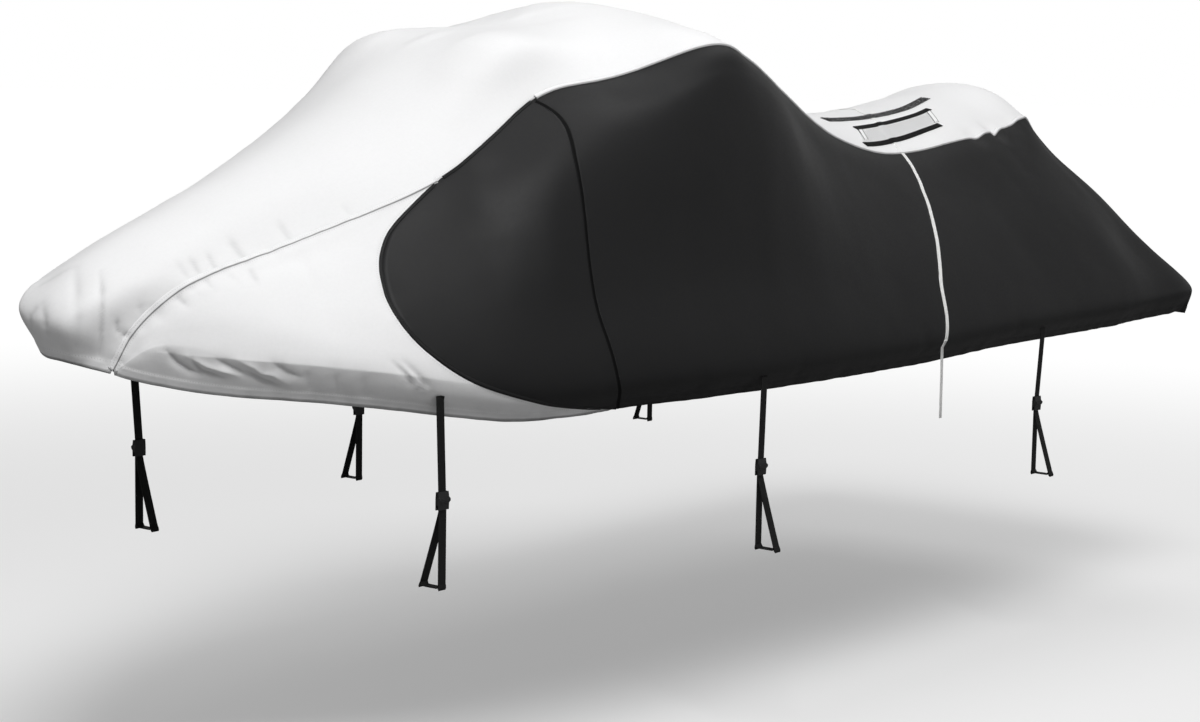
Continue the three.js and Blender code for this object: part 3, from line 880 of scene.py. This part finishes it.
def laid_strip(name, path, ways, profile, finish, ground, aside=None):
    """A strip on the cloth along a path, squared off or leaning to one side.

    Its profile is [offset to the right of the way, height], in millimetres.
    """
    rows = len(path)
    columns = len(profile)
    aheads = unit(np.roll(path, -1, axis=0) - np.roll(path, 1, axis=0))
    aheads[0], aheads[-1] = unit(path[1] - path[0]), unit(path[-1] - path[-2])
    lengths = np.concatenate([[0], np.cumsum(np.linalg.norm(np.diff(path, axis=0), axis=1))])
    shape = bmesh.new()
    layer = shape.loops.layers.uv.new(FLAT)
    bmesh.ops.create_grid(shape, x_segments=columns - 1, y_segments=rows - 1, size=1)
    places = {}
    for point in shape.verts:
        i = round((point.co.x + 1) / 2 * (columns - 1))
        j = round((point.co.y + 1) / 2 * (rows - 1))
        offset, height = profile[i]
        side = unit(np.cross(aheads[j], ways[j])) if aside is None else aside
        found, out = laid(ground, path[j] + side * offset * MM)
        point.co = found + unit(out + ways[j]) * height * MM
        places[point] = (offset * MM, lengths[j])
    for face in shape.faces:
        for corner in face.loops:
            corner[layer].uv = places[corner.vert]
    return as_piece(name, shape, finish)


def settle(piece, ground, height, hangs=False):
    """Lays a strip's outer face over the cloth. What hangs free stays where it is."""
    places = points_of(piece.data)
    for i, place in enumerate(places):
        found, out = laid(ground, place)
        share = 1 - soft_step(np.linalg.norm(place - found), *FREE) if hangs else 1
        places[i] = place * (1 - share) + (found + out * height(found)) * share
    move_to(piece.data, places)


def marks_of(mesh):
    """The flat cut's coordinates at each point of a mesh."""
    marks = np.empty((len(mesh.vertices), 2))
    marks[numbers_of(mesh.loops, "vertex_index", kind=int)] = numbers_of(mesh.uv_layers[FLAT].data, "uv", 2)
    return marks


def widen(mesh, share):
    """Widens a strip about its middle."""
    places = points_of(mesh)
    rows = np.round(marks_of(mesh)[:, 1] / ROW).astype(int)
    for row in np.unique(rows):
        mine = rows == row
        middle = places[mine].mean(axis=0)
        places[mine] = middle + (places[mine] - middle) * share
    move_to(mesh, places)


def strip_of(node, name, finish, levels):
    """A finer sheet of a packed strip's outer skin, with its flat cut's coordinates."""
    skin = outer_skin(node)
    mark_strip(skin)
    return finer(as_piece(name, skin, finish, node), levels)


# Each panel's material slot and how many times its grid is divided
CLOTHS = {
    "top_panel": ("white_cloth", 3),
    "bow_side_port": ("white_cloth", 4),
    "bow_side_starboard": ("white_cloth", 4),
    "side_front_port": ("black_cloth", 3),
    "side_front_starboard": ("black_cloth", 3),
    "side_rear_port": ("black_cloth", 3),
    "side_rear_starboard": ("black_cloth", 3),
}
# Each cloth's colour and gloss, its sheen and how much dirt, and painted shade along its hem, darken it
CLOTH_LOOKS = {"white_cloth": ("light", 0.05, 0.14), "black_cloth": ("dark", 0.02, 0.3)}
# The bow's stretch of the top panel, which has puckers and so has finer rows, in metres
BOW_ROWS = (-1.18, -0.835)
made = {}


class COVER_OT_cloth(bpy.types.Operator):
    """Makes the cover's cloth panels with their folds"""

    bl_idname = "cover.cloth"
    bl_label = "Cloth panels"

    def execute(self, context):
        settings = context.scene.cover
        finishes = {
            slot: cloth_finish(f"{shade}_cloth", getattr(settings, shade), shade, sheen, dirt_and_shade)
            for slot, (shade, sheen, dirt_and_shade) in CLOTH_LOOKS.items()
        }
        panels = {}
        for node, (slot, levels) in CLOTHS.items():
            piece = as_piece(f"cloth_{node}", outer_skin(node, cloth=True), finishes[slot], node)
            width, length, area = flatten(piece)
            panels[node] = finer(piece, levels)
        split_rows(panels["top_panel"], *BOW_ROWS)
        made["seams"] = fold(panels)
        made["panels"] = panels
        made["ground"] = tree_of(panels.values())
        for piece in panels.values():
            thicken(piece, settings.cloth)
        return {"FINISHED"}


# Profiles of the seams' strips, as [offset to the first panel's side, height] in millimetres
LAP = (
    (8, -0.3), (6.5, 0.1), (4, 0.5), (2, 1.1), (0.6, 1.6), (-0.4, 1.5), (-1.2, 0.7), (-1.8, 0.1),
    (-3.2, 0.1), (-4, -0.3),
)
EDGE = ((4.5, -0.3), (3.5, 0.4), (1.8, 0.9), (0, 1.0), (-1.4, 0.9), (-2, 0.4), (-2.6, -0.3))
CHANNEL = ((4.4, -0.3), (2.8, 0.2), (1, 0.3), (-1, 0.3), (-2.8, 0.2), (-4.4, -0.3))
ROLL = ((6, -0.3), (5, 0.7), (3.6, 2.2), (1.4, 3.2), (-1.0, 3.0), (-2.8, 1.7), (-3.6, 0.4), (-4, -0.3))
# Each kind of seam: colour, gloss, the painted shadow line where the cloths meet (place, half width, soft
# edge), how dark that painted shadow is, and where its stitches run, or None, in millimetres
SEAM_LOOKS = {
    "seam_light": ("light", "light", (-2.0, 1.1, 0.5), 0.66, 4),
    "seam_dark": ("dark", "dark", (-0.8, 1.2, 0.6), 0.7, 3),
    "seam_deep": ("dark", "channel", (0.0, 2.8, 1.0), 0.8, None),
    "seam_roll": ("light", "light", (-3.2, 1.6, 0.8), 0.35, None),
}
# The seams: their names, the two panels, the profile, the kind of seam and the material slot
SEAMS = (
    ("bow", "top_panel", "bow_side", LAP, "seam_light", "white_cloth"),
    ("front", "side_front", "bow_side", EDGE, "seam_dark", "black_cloth"),
    ("hump", "side_front", "top_panel", EDGE, "seam_dark", "black_cloth"),
    ("dark", "side_front", "side_rear", CHANNEL, "seam_deep", "black_cloth"),
    ("seat", "top_panel", "side_rear", ROLL, "seam_roll", "white_cloth"),
)
SEAM_SHEEN = 0.03
SEAM_THICKNESS = 0.4 * MM
SEAM_CRUMPLE = {"pitch": 12 * MM, "tone": 0.08, "relief": 0.15 * MM, "roughness": 0.1}
SEAM_WEAVE = 0.03 * MM
# The point of a seam at which the first panel's side of it is looked up
PROBE = 6


def seam_finish(name, colour, gloss, line, shade, run):
    """The sewn edge of a cloth, with a painted shadow line where the two cloths meet."""
    finish = Finish(name, colour, gloss, SEAM_SHEEN)
    weave, crumple = woven(finish), finish.cloud(SEAM_CRUMPLE["pitch"])
    # A painted shadow line where the two cloths meet
    seam_shadow = finish.band(finish.across, *(size * MM for size in line))
    tone = 1 + weave * TONES["weave"] + (crumple - 0.5) * SEAM_CRUMPLE["tone"] - seam_shadow * shade
    height = weave * SEAM_WEAVE + crumple * SEAM_CRUMPLE["relief"]
    if run:
        thread, row = stitched(finish, finish.across, run * MM, finish.along)
        tone = tone - (row - thread) * TONES["stitches"]
        height = height + thread * THREAD["rise"] - row * THREAD["sink"]
    rough = (crumple - 0.5) * SEAM_CRUMPLE["roughness"] + GLOSS[gloss][0]
    return finish.finished(finish.shaded(tone), rough, height)


class COVER_OT_seams(bpy.types.Operator):
    """Makes the lapped and rolled seams between the panels"""

    bl_idname = "cover.seams"
    bl_label = "Seams"

    def execute(self, context):
        finishes = {
            name: seam_finish(name, getattr(context.scene.cover, shade), *look)
            for name, (shade, *look) in SEAM_LOOKS.items()
        }
        for label, first, second, profile, look, slot in SEAMS:
            for side, sign in SIDES.items():
                names = [name if name in CLOTHS else f"{name}_{side}" for name in (first, second)]
                mesh = made["panels"][names[0]].data
                pairs = made["seams"][tuple(names)]
                pairs = [pair for pair in pairs if mesh.vertices[int(pair[0])].co.y * sign > 0]
                self.sew(f"seam_{label}_{side}", mesh, pairs, profile, finishes[look], slot)
        return {"FINISHED"}

    def sew(self, name, mesh, pairs, profile, finish, slot):
        """Lays a seam's strip along the edge of its first panel."""
        run = max(runs_of(np.array(pairs)), key=len)[1:-1]
        path = points_of(mesh)[run]
        ways = np.array([laid(made["ground"], place)[1] for place in path]) + normals_of(mesh)[run]
        ways = unit(sum(np.roll(ways, k, axis=0) for k in (-1, 0, 1)))
        ways[0], ways[-1] = ways[1], ways[-2]
        at_probe = set(run[PROBE - 1:PROBE + 2])
        beside = np.mean([face.center[:] for face in mesh.polygons if at_probe & set(face.vertices)], axis=0)
        right = np.cross(path[PROBE + 1] - path[PROBE], ways[PROBE])
        if np.dot(right, beside - path[PROBE]) < 0:
            path, ways = path[::-1], ways[::-1]
        piece = laid_strip(name, path, ways, profile, finish, made["ground"])
        thicken(piece, SEAM_THICKNESS)


# The belt: its width, height and thickness, and how far to its side and above it a strip is lifted
BELT = {"width": 10 * MM, "height": 1.7 * MM, "thickness": 1.4 * MM, "side": 12 * MM, "clear": 0.2 * MM}
STRAP_ROUNDING = 0.3 * MM


class COVER_OT_belt(bpy.types.Operator):
    """Makes the belt over the seat"""

    bl_idname = "cover.belt"
    bl_label = "Belt"

    def execute(self, context):
        finish = webbing_finish("belt_webbing", context.scene.cover.belt, "belt", BELT["width"])
        piece = strip_of("belt", "belt_webbing", finish, 2)
        settle(piece, made["ground"], lambda place: BELT["height"], hangs=True)
        made["belt"] = points_of(piece.data)
        thicken(piece, BELT["thickness"], STRAP_ROUNDING)
        return {"FINISHED"}


def over_belt(thickness):
    """The height of a strip's outer face over the cloth, which rises over the belt."""
    def height(place):
        gap = np.linalg.norm(made["belt"] - place, axis=1).min()
        share = 1 - soft_step(gap, BELT["width"] / 4, BELT["side"])
        return thickness + (BELT["height"] + BELT["clear"]) * share
    return height


# The mesh: the height of its outer face, its thickness, its knit, and the edges of the knit's holes
NET = {"height": 0.9 * MM, "thickness": 0.6 * MM, "knit": 2.4 * MM, "hole": (0.25, 0.7)}
# The knit's threads and, as painted shade, its holes; its uneven tone and that tone's pitch
NET_TONES = {"thread": 1.04, "hole": 0.36, "uneven": 0.06, "pitch": 40 * MM}
NET_DEPTH = 0.35 * MM
NET_ROUGHNESS = {"thread": 0.65, "hole": 0.2}
# The bindings: their width, how much wider they are laid, and their height, thickness and rounding
BINDING = {"width": 12 * MM, "spread": 1.35, "height": 2.2 * MM, "thickness": 1.8 * MM, "rounding": 0.5 * MM}
# The mesh's corners at its fore and aft ends, each from the near to the far edge, in millimetres
VENT_ENDS = {"fore": ((878, -233, -303), (940, -165, -274)), "aft": ((1278, -195, -269), (1357, -113, -236))}
# The tapes at the vent's ends: profile, stations, the share left free at both ends, and their dark lines
END_TAPE = ((-2, -0.2), (0, 1.1), (2, 1.3), (20, 1.3), (23, 1.1), (24, -0.2))
END_STATIONS, END_SHARE, END_THICKNESS = 14, 0.06, 0.4 * MM
END_LINES = ((0.8 * MM, 2.2 * MM, 0.4 * MM), (21.5 * MM, 2.0 * MM, 0.4 * MM))
END_TONES = {"tape": 1.05, "line": 0.93, "gloss": 0.1, "weave": 0.04 * MM}


class COVER_OT_vent(bpy.types.Operator):
    """Makes the vent's mesh, its bound edges and the tapes at its ends"""

    bl_idname = "cover.vent"
    bl_label = "Vent"

    def execute(self, context):
        settings = context.scene.cover
        net = strip_of("vent_mesh", "vent_net", self.net_finish(settings.mesh), 3)
        settle(net, made["ground"], over_belt(NET["height"]))
        thicken(net, NET["thickness"])
        width, length = np.ptp(numbers_of(net.data.uv_layers[FLAT].data, "uv", 2), axis=0)
        bound = webbing_finish("binding_tape", settings.binding, "binding", BINDING["width"])
        for edge in ("near", "far"):
            tape = strip_of(f"vent_binding_{edge}", f"tape_{edge}", bound, 2)
            widen(tape.data, BINDING["spread"])
            settle(tape, made["ground"], over_belt(BINDING["height"]))
            thicken(tape, BINDING["thickness"], BINDING["rounding"])
        self.tape_ends(self.tape_finish(settings.light))
        return {"FINISHED"}

    def net_finish(self, colour):
        """Fine knitted mesh, with painted shade in its holes, which are also deeper."""
        net = Finish("vent_net", colour, "mesh")
        knit = net.wave(net.across, NET["knit"]) * net.wave(net.along, NET["knit"])
        hole = net.step(knit, *NET["hole"])
        uneven = (net.cloud(NET_TONES["pitch"]) - 0.5) * NET_TONES["uneven"]
        # The holes are darkened as painted shade
        tone = NET_TONES["thread"] - hole * NET_TONES["hole"] + uneven
        rough = hole * NET_ROUGHNESS["hole"] + NET_ROUGHNESS["thread"]
        return net.finished(net.shaded(tone), rough, hole * -NET_DEPTH)

    def tape_finish(self, colour):
        """White tape between two dark lines."""
        ends = Finish("end_tape", colour, "tape")
        lines = ends.band(ends.across, *END_LINES[0]) + ends.band(ends.across, *END_LINES[1])
        tone = END_TONES["tape"] - lines * END_TONES["line"]
        rough = lines * -END_TONES["gloss"] + GLOSS["tape"][0]
        return ends.finished(ends.shaded(tone), rough, woven(ends) * END_TONES["weave"])

    def tape_ends(self, finish):
        """Lays a tape along each short end of the mesh, leaning as the mesh does."""
        ground = made["ground"]
        fore, aft = (np.array(VENT_ENDS[label][0]) for label in ("fore", "aft"))
        inner = {"fore": unit(aft - fore), "aft": unit(fore - aft)}
        for label, corners in VENT_ENDS.items():
            near, far = np.array(corners)
            shares = np.linspace(END_SHARE, 1 - END_SHARE, END_STATIONS)
            path = (near + shares[:, None] * (far - near)) * MM
            if label == "aft":
                path = path[::-1]
            path = np.array([laid(ground, place)[0] for place in path])
            ways = np.array([laid(ground, place)[1] for place in path])
            tape = laid_strip(f"tape_end_{label}", path, ways, END_TAPE, finish, ground, inner[label])
            thicken(tape, END_THICKNESS)


# The hook strip: how much wider it is laid, and its height, thickness and rounding
HOOKS = {"spread": 1.3, "height": 1.3 * MM, "thickness": 1.0 * MM, "rounding": 0.3 * MM}
# Its pile: hooks on each face, their height, their radius at root and tip, and how far they lean
PILE = {"each": 3, "height": 1.6 * MM, "root": 0.55 * MM, "tip": 0.35 * MM, "lean": 0.5, "inset": 0.1}
SPECKLE = {"pattern": (4.5 * MM, 3.0), "shows": (0.5, 0.6), "fine": 1.6 * MM}
PILE_TONES = {"ground": 0.35, "speckle": 5.0, "fine": 0.5}
PILE_ROUGHNESS = {"base": 0.6, "fine": 0.2}
PILE_RELIEF = 0.5 * MM
PILE_SHEEN = 0.1
PILE_SEED = 7


class COVER_OT_hooks(bpy.types.Operator):
    """Makes the hook strip with its short stiff pile"""

    bl_idname = "cover.hooks"
    bl_label = "Hook strip"

    def execute(self, context):
        finish = self.pile_finish(context.scene.cover.pile)
        base = strip_of("hook_strip", "hook_tape", finish, 2)
        widen(base.data, HOOKS["spread"])
        settle(base, made["ground"], over_belt(HOOKS["height"]))
        as_piece("hook_spikes", self.pile(base.data), finish)
        thicken(base, HOOKS["thickness"], HOOKS["rounding"])
        return {"FINISHED"}

    def pile_finish(self, colour):
        """Dark nylon with lighter specks."""
        finish = Finish("hook_pile", colour, "pile", PILE_SHEEN)
        speckle = finish.step(finish.cloud(*SPECKLE["pattern"]), *SPECKLE["shows"])
        fine = finish.cloud(SPECKLE["fine"])
        tone = PILE_TONES["ground"] + speckle * PILE_TONES["speckle"] + fine * PILE_TONES["fine"]
        rough = fine * PILE_ROUGHNESS["fine"] + PILE_ROUGHNESS["base"]
        return finish.finished(finish.shaded(tone), rough, fine * PILE_RELIEF)

    def pile(self, mesh):
        """A bmesh of short hooks that stand on a strip's faces and lean all ways."""
        shape = bmesh.new()
        dice = np.random.default_rng(PILE_SEED)
        for face in mesh.polygons:
            corners = np.array([mesh.vertices[corner].co[:] for corner in face.vertices])
            for _ in range(PILE["each"]):
                a, b = dice.uniform(PILE["inset"], 1 - PILE["inset"], 2)
                near = (1 - a) * corners[0] + a * corners[1]
                far = (1 - a) * corners[3] + a * corners[2]
                lean = (face.normal + Vector(dice.uniform(-PILE["lean"], PILE["lean"], 3))).normalized()
                middle = Vector(near * (1 - b) + far * b) + lean * PILE["height"] / 2
                place = Matrix.Translation(middle) @ lean.to_track_quat("Z", "Y").to_matrix().to_4x4()
                bmesh.ops.create_cone(
                    shape, segments=4, radius1=PILE["root"], radius2=PILE["tip"], depth=PILE["height"],
                    matrix=place,
                )
        return shape


# The ties' webbing: its width and thickness, and the height at which a tie passes over the cloth
STRAP = {"width": 20 * MM, "thickness": 1.6 * MM, "height": 1.9 * MM}
# How far the top of each tie lies aft of its foot, in millimetres
LEANS = {"front": -17, "middle": -9, "rear": 0}
# The buckles' plastic: its grain, and its scuffs by pitch, detail and the noise between which they show
MOULDED = {"grain": 0.9 * MM, "scuffs": (7 * MM, 4.0), "shows": (0.55, 0.7), "scuffed": 0.9}
MOULDED_GLOSS = {"base": 0.36, "grain": 0.15, "scuff": 0.12}
MOULDED_RELIEF = 0.06 * MM
# The rounding of a buckle's edges, and the angle from which an edge is rounded
BUCKLE_ROUNDING, BUCKLE_ANGLE = 0.5 * MM, math.radians(30)


class COVER_OT_ties(bpy.types.Operator):
    """Makes the six ties, their buckles and their loops"""

    bl_idname = "cover.ties"
    bl_label = "Ties"

    def execute(self, context):
        settings = context.scene.cover
        sewn = webbing_finish("tie_webbing", settings.webbing, "webbing", STRAP["width"], True)
        plain = webbing_finish("loop_webbing", settings.webbing, "webbing", STRAP["width"])
        plastic = self.plastic_finish(settings.plastic)
        for place, lean in LEANS.items():
            for side in SIDES:
                tie = strip_of(f"tie_{place}_{side}", f"webbing_tie_{place}_{side}", sewn, 3)
                self.hang(tie.data, lean)
                loop = strip_of(f"loop_{place}_{side}", f"webbing_loop_{place}_{side}", plain, 2)
                for strap in (tie, loop):
                    thicken(strap, STRAP["thickness"], STRAP_ROUNDING)
                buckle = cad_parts[f"buckle_{place}_{side}"]
                for slot in buckle.material_slots:
                    slot.material = plastic
                buckle.modifiers.new("weld", "WELD").merge_threshold = WELD
                round_edges(buckle, BUCKLE_ROUNDING, BUCKLE_ANGLE)
        return {"FINISHED"}

    def plastic_finish(self, colour):
        """Moulded plastic with a fine grain and duller scuffs."""
        moulded = Finish("buckle_plastic", colour, "plastic")
        grain = moulded.cloud(MOULDED["grain"])
        scuff = moulded.step(moulded.cloud(*MOULDED["scuffs"]), *MOULDED["shows"])
        rough = grain * MOULDED_GLOSS["grain"] + MOULDED_GLOSS["base"] + scuff * MOULDED_GLOSS["scuff"]
        tone = 1 + scuff * MOULDED["scuffed"]
        return moulded.finished(moulded.shaded(tone), rough, grain * MOULDED_RELIEF)

    def hang(self, mesh, lean):
        """Pulls a tie straight from its sewn end to its foot, over the cloth between them."""
        places, marks = points_of(mesh), marks_of(mesh)
        length = marks[:, 1].max()
        if places[marks[:, 1] < MM, 2].mean() < places[marks[:, 1] > length - MM, 2].mean():
            marks[:, 1] = length - marks[:, 1]
        top = places[marks[:, 1] < MM].mean(axis=0)
        foot = places[marks[:, 1] > length - MM].mean(axis=0)
        top[0] = foot[0] + lean * MM
        found, out = laid(made["ground"], top)
        top = found + out * STRAP["height"]
        right = math.copysign(1, places[np.argmax(marks[:, 0])][0] - places[np.argmin(marks[:, 0])][0])
        straight = top + (foot - top) * (marks[:, 1:] / length)
        straight[:, 0] += right * marks[:, 0]
        for i, place in enumerate(straight):
            found, out = laid(made["ground"], place)
            if (place - found) @ out < STRAP["height"]:
                straight[i] = found + out * STRAP["height"]
        move_to(mesh, straight)
        keep_at_points(mesh, "end", marks[:, 1])


# The floor: its height and radius, its own tone, what it gives back to the cover, and the least share of
# plain light in it, which grows to the whole between two distances
FLOOR = {"height": -1.50, "radius": 60, "pale": 0.9, "bounce": 0.25, "least": 0.3, "glow": (1.8, 7.0)}
# The light from around: strong up to the first height of its way, and weak from the second
SURROUND = {"From Min": 0.10, "From Max": 0.40, "To Min": 0.5, "To Max": 0.2}
# The lamps: name, place, size and power
LAMPS = (("key", (-2.8, -3.4, 5.8), 3.5, 490), ("fill", (3.0, 0.5, 3.5), 2.5, 50))
# The camera: its sensor and lens in millimetres, its place, and the ways to its right, up and back
SENSOR = 36
LENS = 74.07
EYE = Vector((-4.1064, -3.439, -0.0836))
RIGHT = Vector((0.62771, -0.77824, 0.01775))
UP = Vector((0.08838, 0.09390, 0.99165))
BACK = -Vector((0.77341, 0.62090, -0.12772))


class COVER_OT_stage(bpy.types.Operator):
    """Makes the floor, the lights and the camera"""

    bl_idname = "cover.stage"
    bl_label = "Stage"

    def execute(self, context):
        scene = context.scene
        scene.view_settings.view_transform = "Standard"
        disc = bmesh.new()
        bmesh.ops.create_circle(disc, cap_ends=True, segments=64, radius=FLOOR["radius"])
        bmesh.ops.translate(disc, verts=disc.verts, vec=(0, 0, FLOOR["height"]))
        mesh = bpy.data.meshes.new("floor")
        disc.to_mesh(mesh)
        disc.free()
        mesh.materials.append(self.floor_finish())
        self.place(scene, "floor", mesh, Matrix())
        self.light_studio(scene)
        for name, place, size, power in LAMPS:
            lamp = bpy.data.lights.new(name, "AREA")
            lamp.size = size
            lamp.energy = power
            turn = (-Vector(place)).to_track_quat("-Z", "Y").to_matrix().to_4x4()
            self.place(scene, name, lamp, Matrix.Translation(place) @ turn)
        lens = bpy.data.cameras.new("camera")
        lens.sensor_width = SENSOR
        lens.lens = LENS
        view = Matrix.Translation(EYE) @ Matrix((RIGHT, UP, BACK)).transposed().to_4x4()
        scene.camera = self.place(scene, "camera", lens, view)
        return {"FINISHED"}

    def place(self, scene, name, data, where):
        """Puts a floor, a lamp or a camera in the scene."""
        thing = bpy.data.objects.new(name, data)
        thing.matrix_world = where
        scene.collection.objects.link(thing)
        return thing

    def floor_finish(self):
        """A pale floor that turns to plain light far away, and gives the cover less light than it shows."""
        pale = Finish("floor", (1, 1, 1), "floor")
        seen = pale.node("ShaderNodeLightPath", {}, {}, "Is Camera Ray")
        away = pale.node("ShaderNodeVectorMath", {"operation": "LENGTH"}, {0: pale.at}, "Value")
        glow = (FLOOR["least"] + (1 - FLOOR["least"]) * pale.step(away, *FLOOR["glow"])) * seen
        tone = FLOOR["bounce"] + seen * (FLOOR["pale"] - FLOOR["bounce"])
        pale.feed(pale.shader.inputs["Emission Color"], pale.shaded(glow))
        pale.shader.inputs["Emission Strength"].default_value = 1
        return pale.finished(pale.shaded(tone * (1 - glow)), GLOSS["floor"][0], 0.0)

    def light_studio(self, scene):
        """A plain white surround that lights the cover from all around, and most from low down."""
        scene.world = bpy.data.worlds.new("studio")
        scene.world.use_nodes = True
        tree = scene.world.node_tree
        kinds = ("TexCoord", "SeparateXYZ", "LightPath", "MapRange", "Math")
        way, height, seen, fade, strength = (tree.nodes.new(f"ShaderNode{kind}") for kind in kinds)
        fade.interpolation_type = "SMOOTHSTEP"
        for socket, value in SURROUND.items():
            fade.inputs[socket].default_value = value
        strength.operation = "MAXIMUM"
        surround = tree.nodes["Background"]
        surround.inputs["Color"].default_value = (1, 1, 1, 1)
        tree.links.new(way.outputs["Generated"], height.inputs["Vector"])
        tree.links.new(height.outputs["Z"], fade.inputs["Value"])
        tree.links.new(fade.outputs["Result"], strength.inputs[0])
        tree.links.new(seen.outputs["Is Camera Ray"], strength.inputs[1])
        tree.links.new(strength.outputs["Value"], surround.inputs["Strength"])


class COVER_PT_panel(bpy.types.Panel):
    """Lists the cover's operators"""

    bl_idname = "COVER_PT_panel"
    bl_label = "Cover"
    bl_space_type = "VIEW_3D"
    bl_region_type = "UI"
    bl_category = "Cover"

    def draw(self, context):
        for operator in OPERATORS:
            self.layout.operator(operator.bl_idname)


OPERATORS = (
    COVER_OT_cloth, COVER_OT_seams, COVER_OT_belt, COVER_OT_vent, COVER_OT_hooks, COVER_OT_ties,
    COVER_OT_stage,
)
CLASSES = (CoverSettings, *OPERATORS, COVER_PT_panel)


def register():
    for each in CLASSES:
        bpy.utils.register_class(each)
    bpy.types.Scene.cover = bpy.props.PointerProperty(type=CoverSettings)


def unregister():
    del bpy.types.Scene.cover
    for each in reversed(CLASSES):
        bpy.utils.unregister_class(each)


def main():
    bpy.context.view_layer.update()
    register()
    bpy.ops.cover.cloth()
    bpy.ops.cover.seams()
    bpy.ops.cover.belt()
    bpy.ops.cover.vent()
    bpy.ops.cover.hooks()
    bpy.ops.cover.ties()
    bpy.ops.cover.stage()


if __name__ == "__main__":
    main()
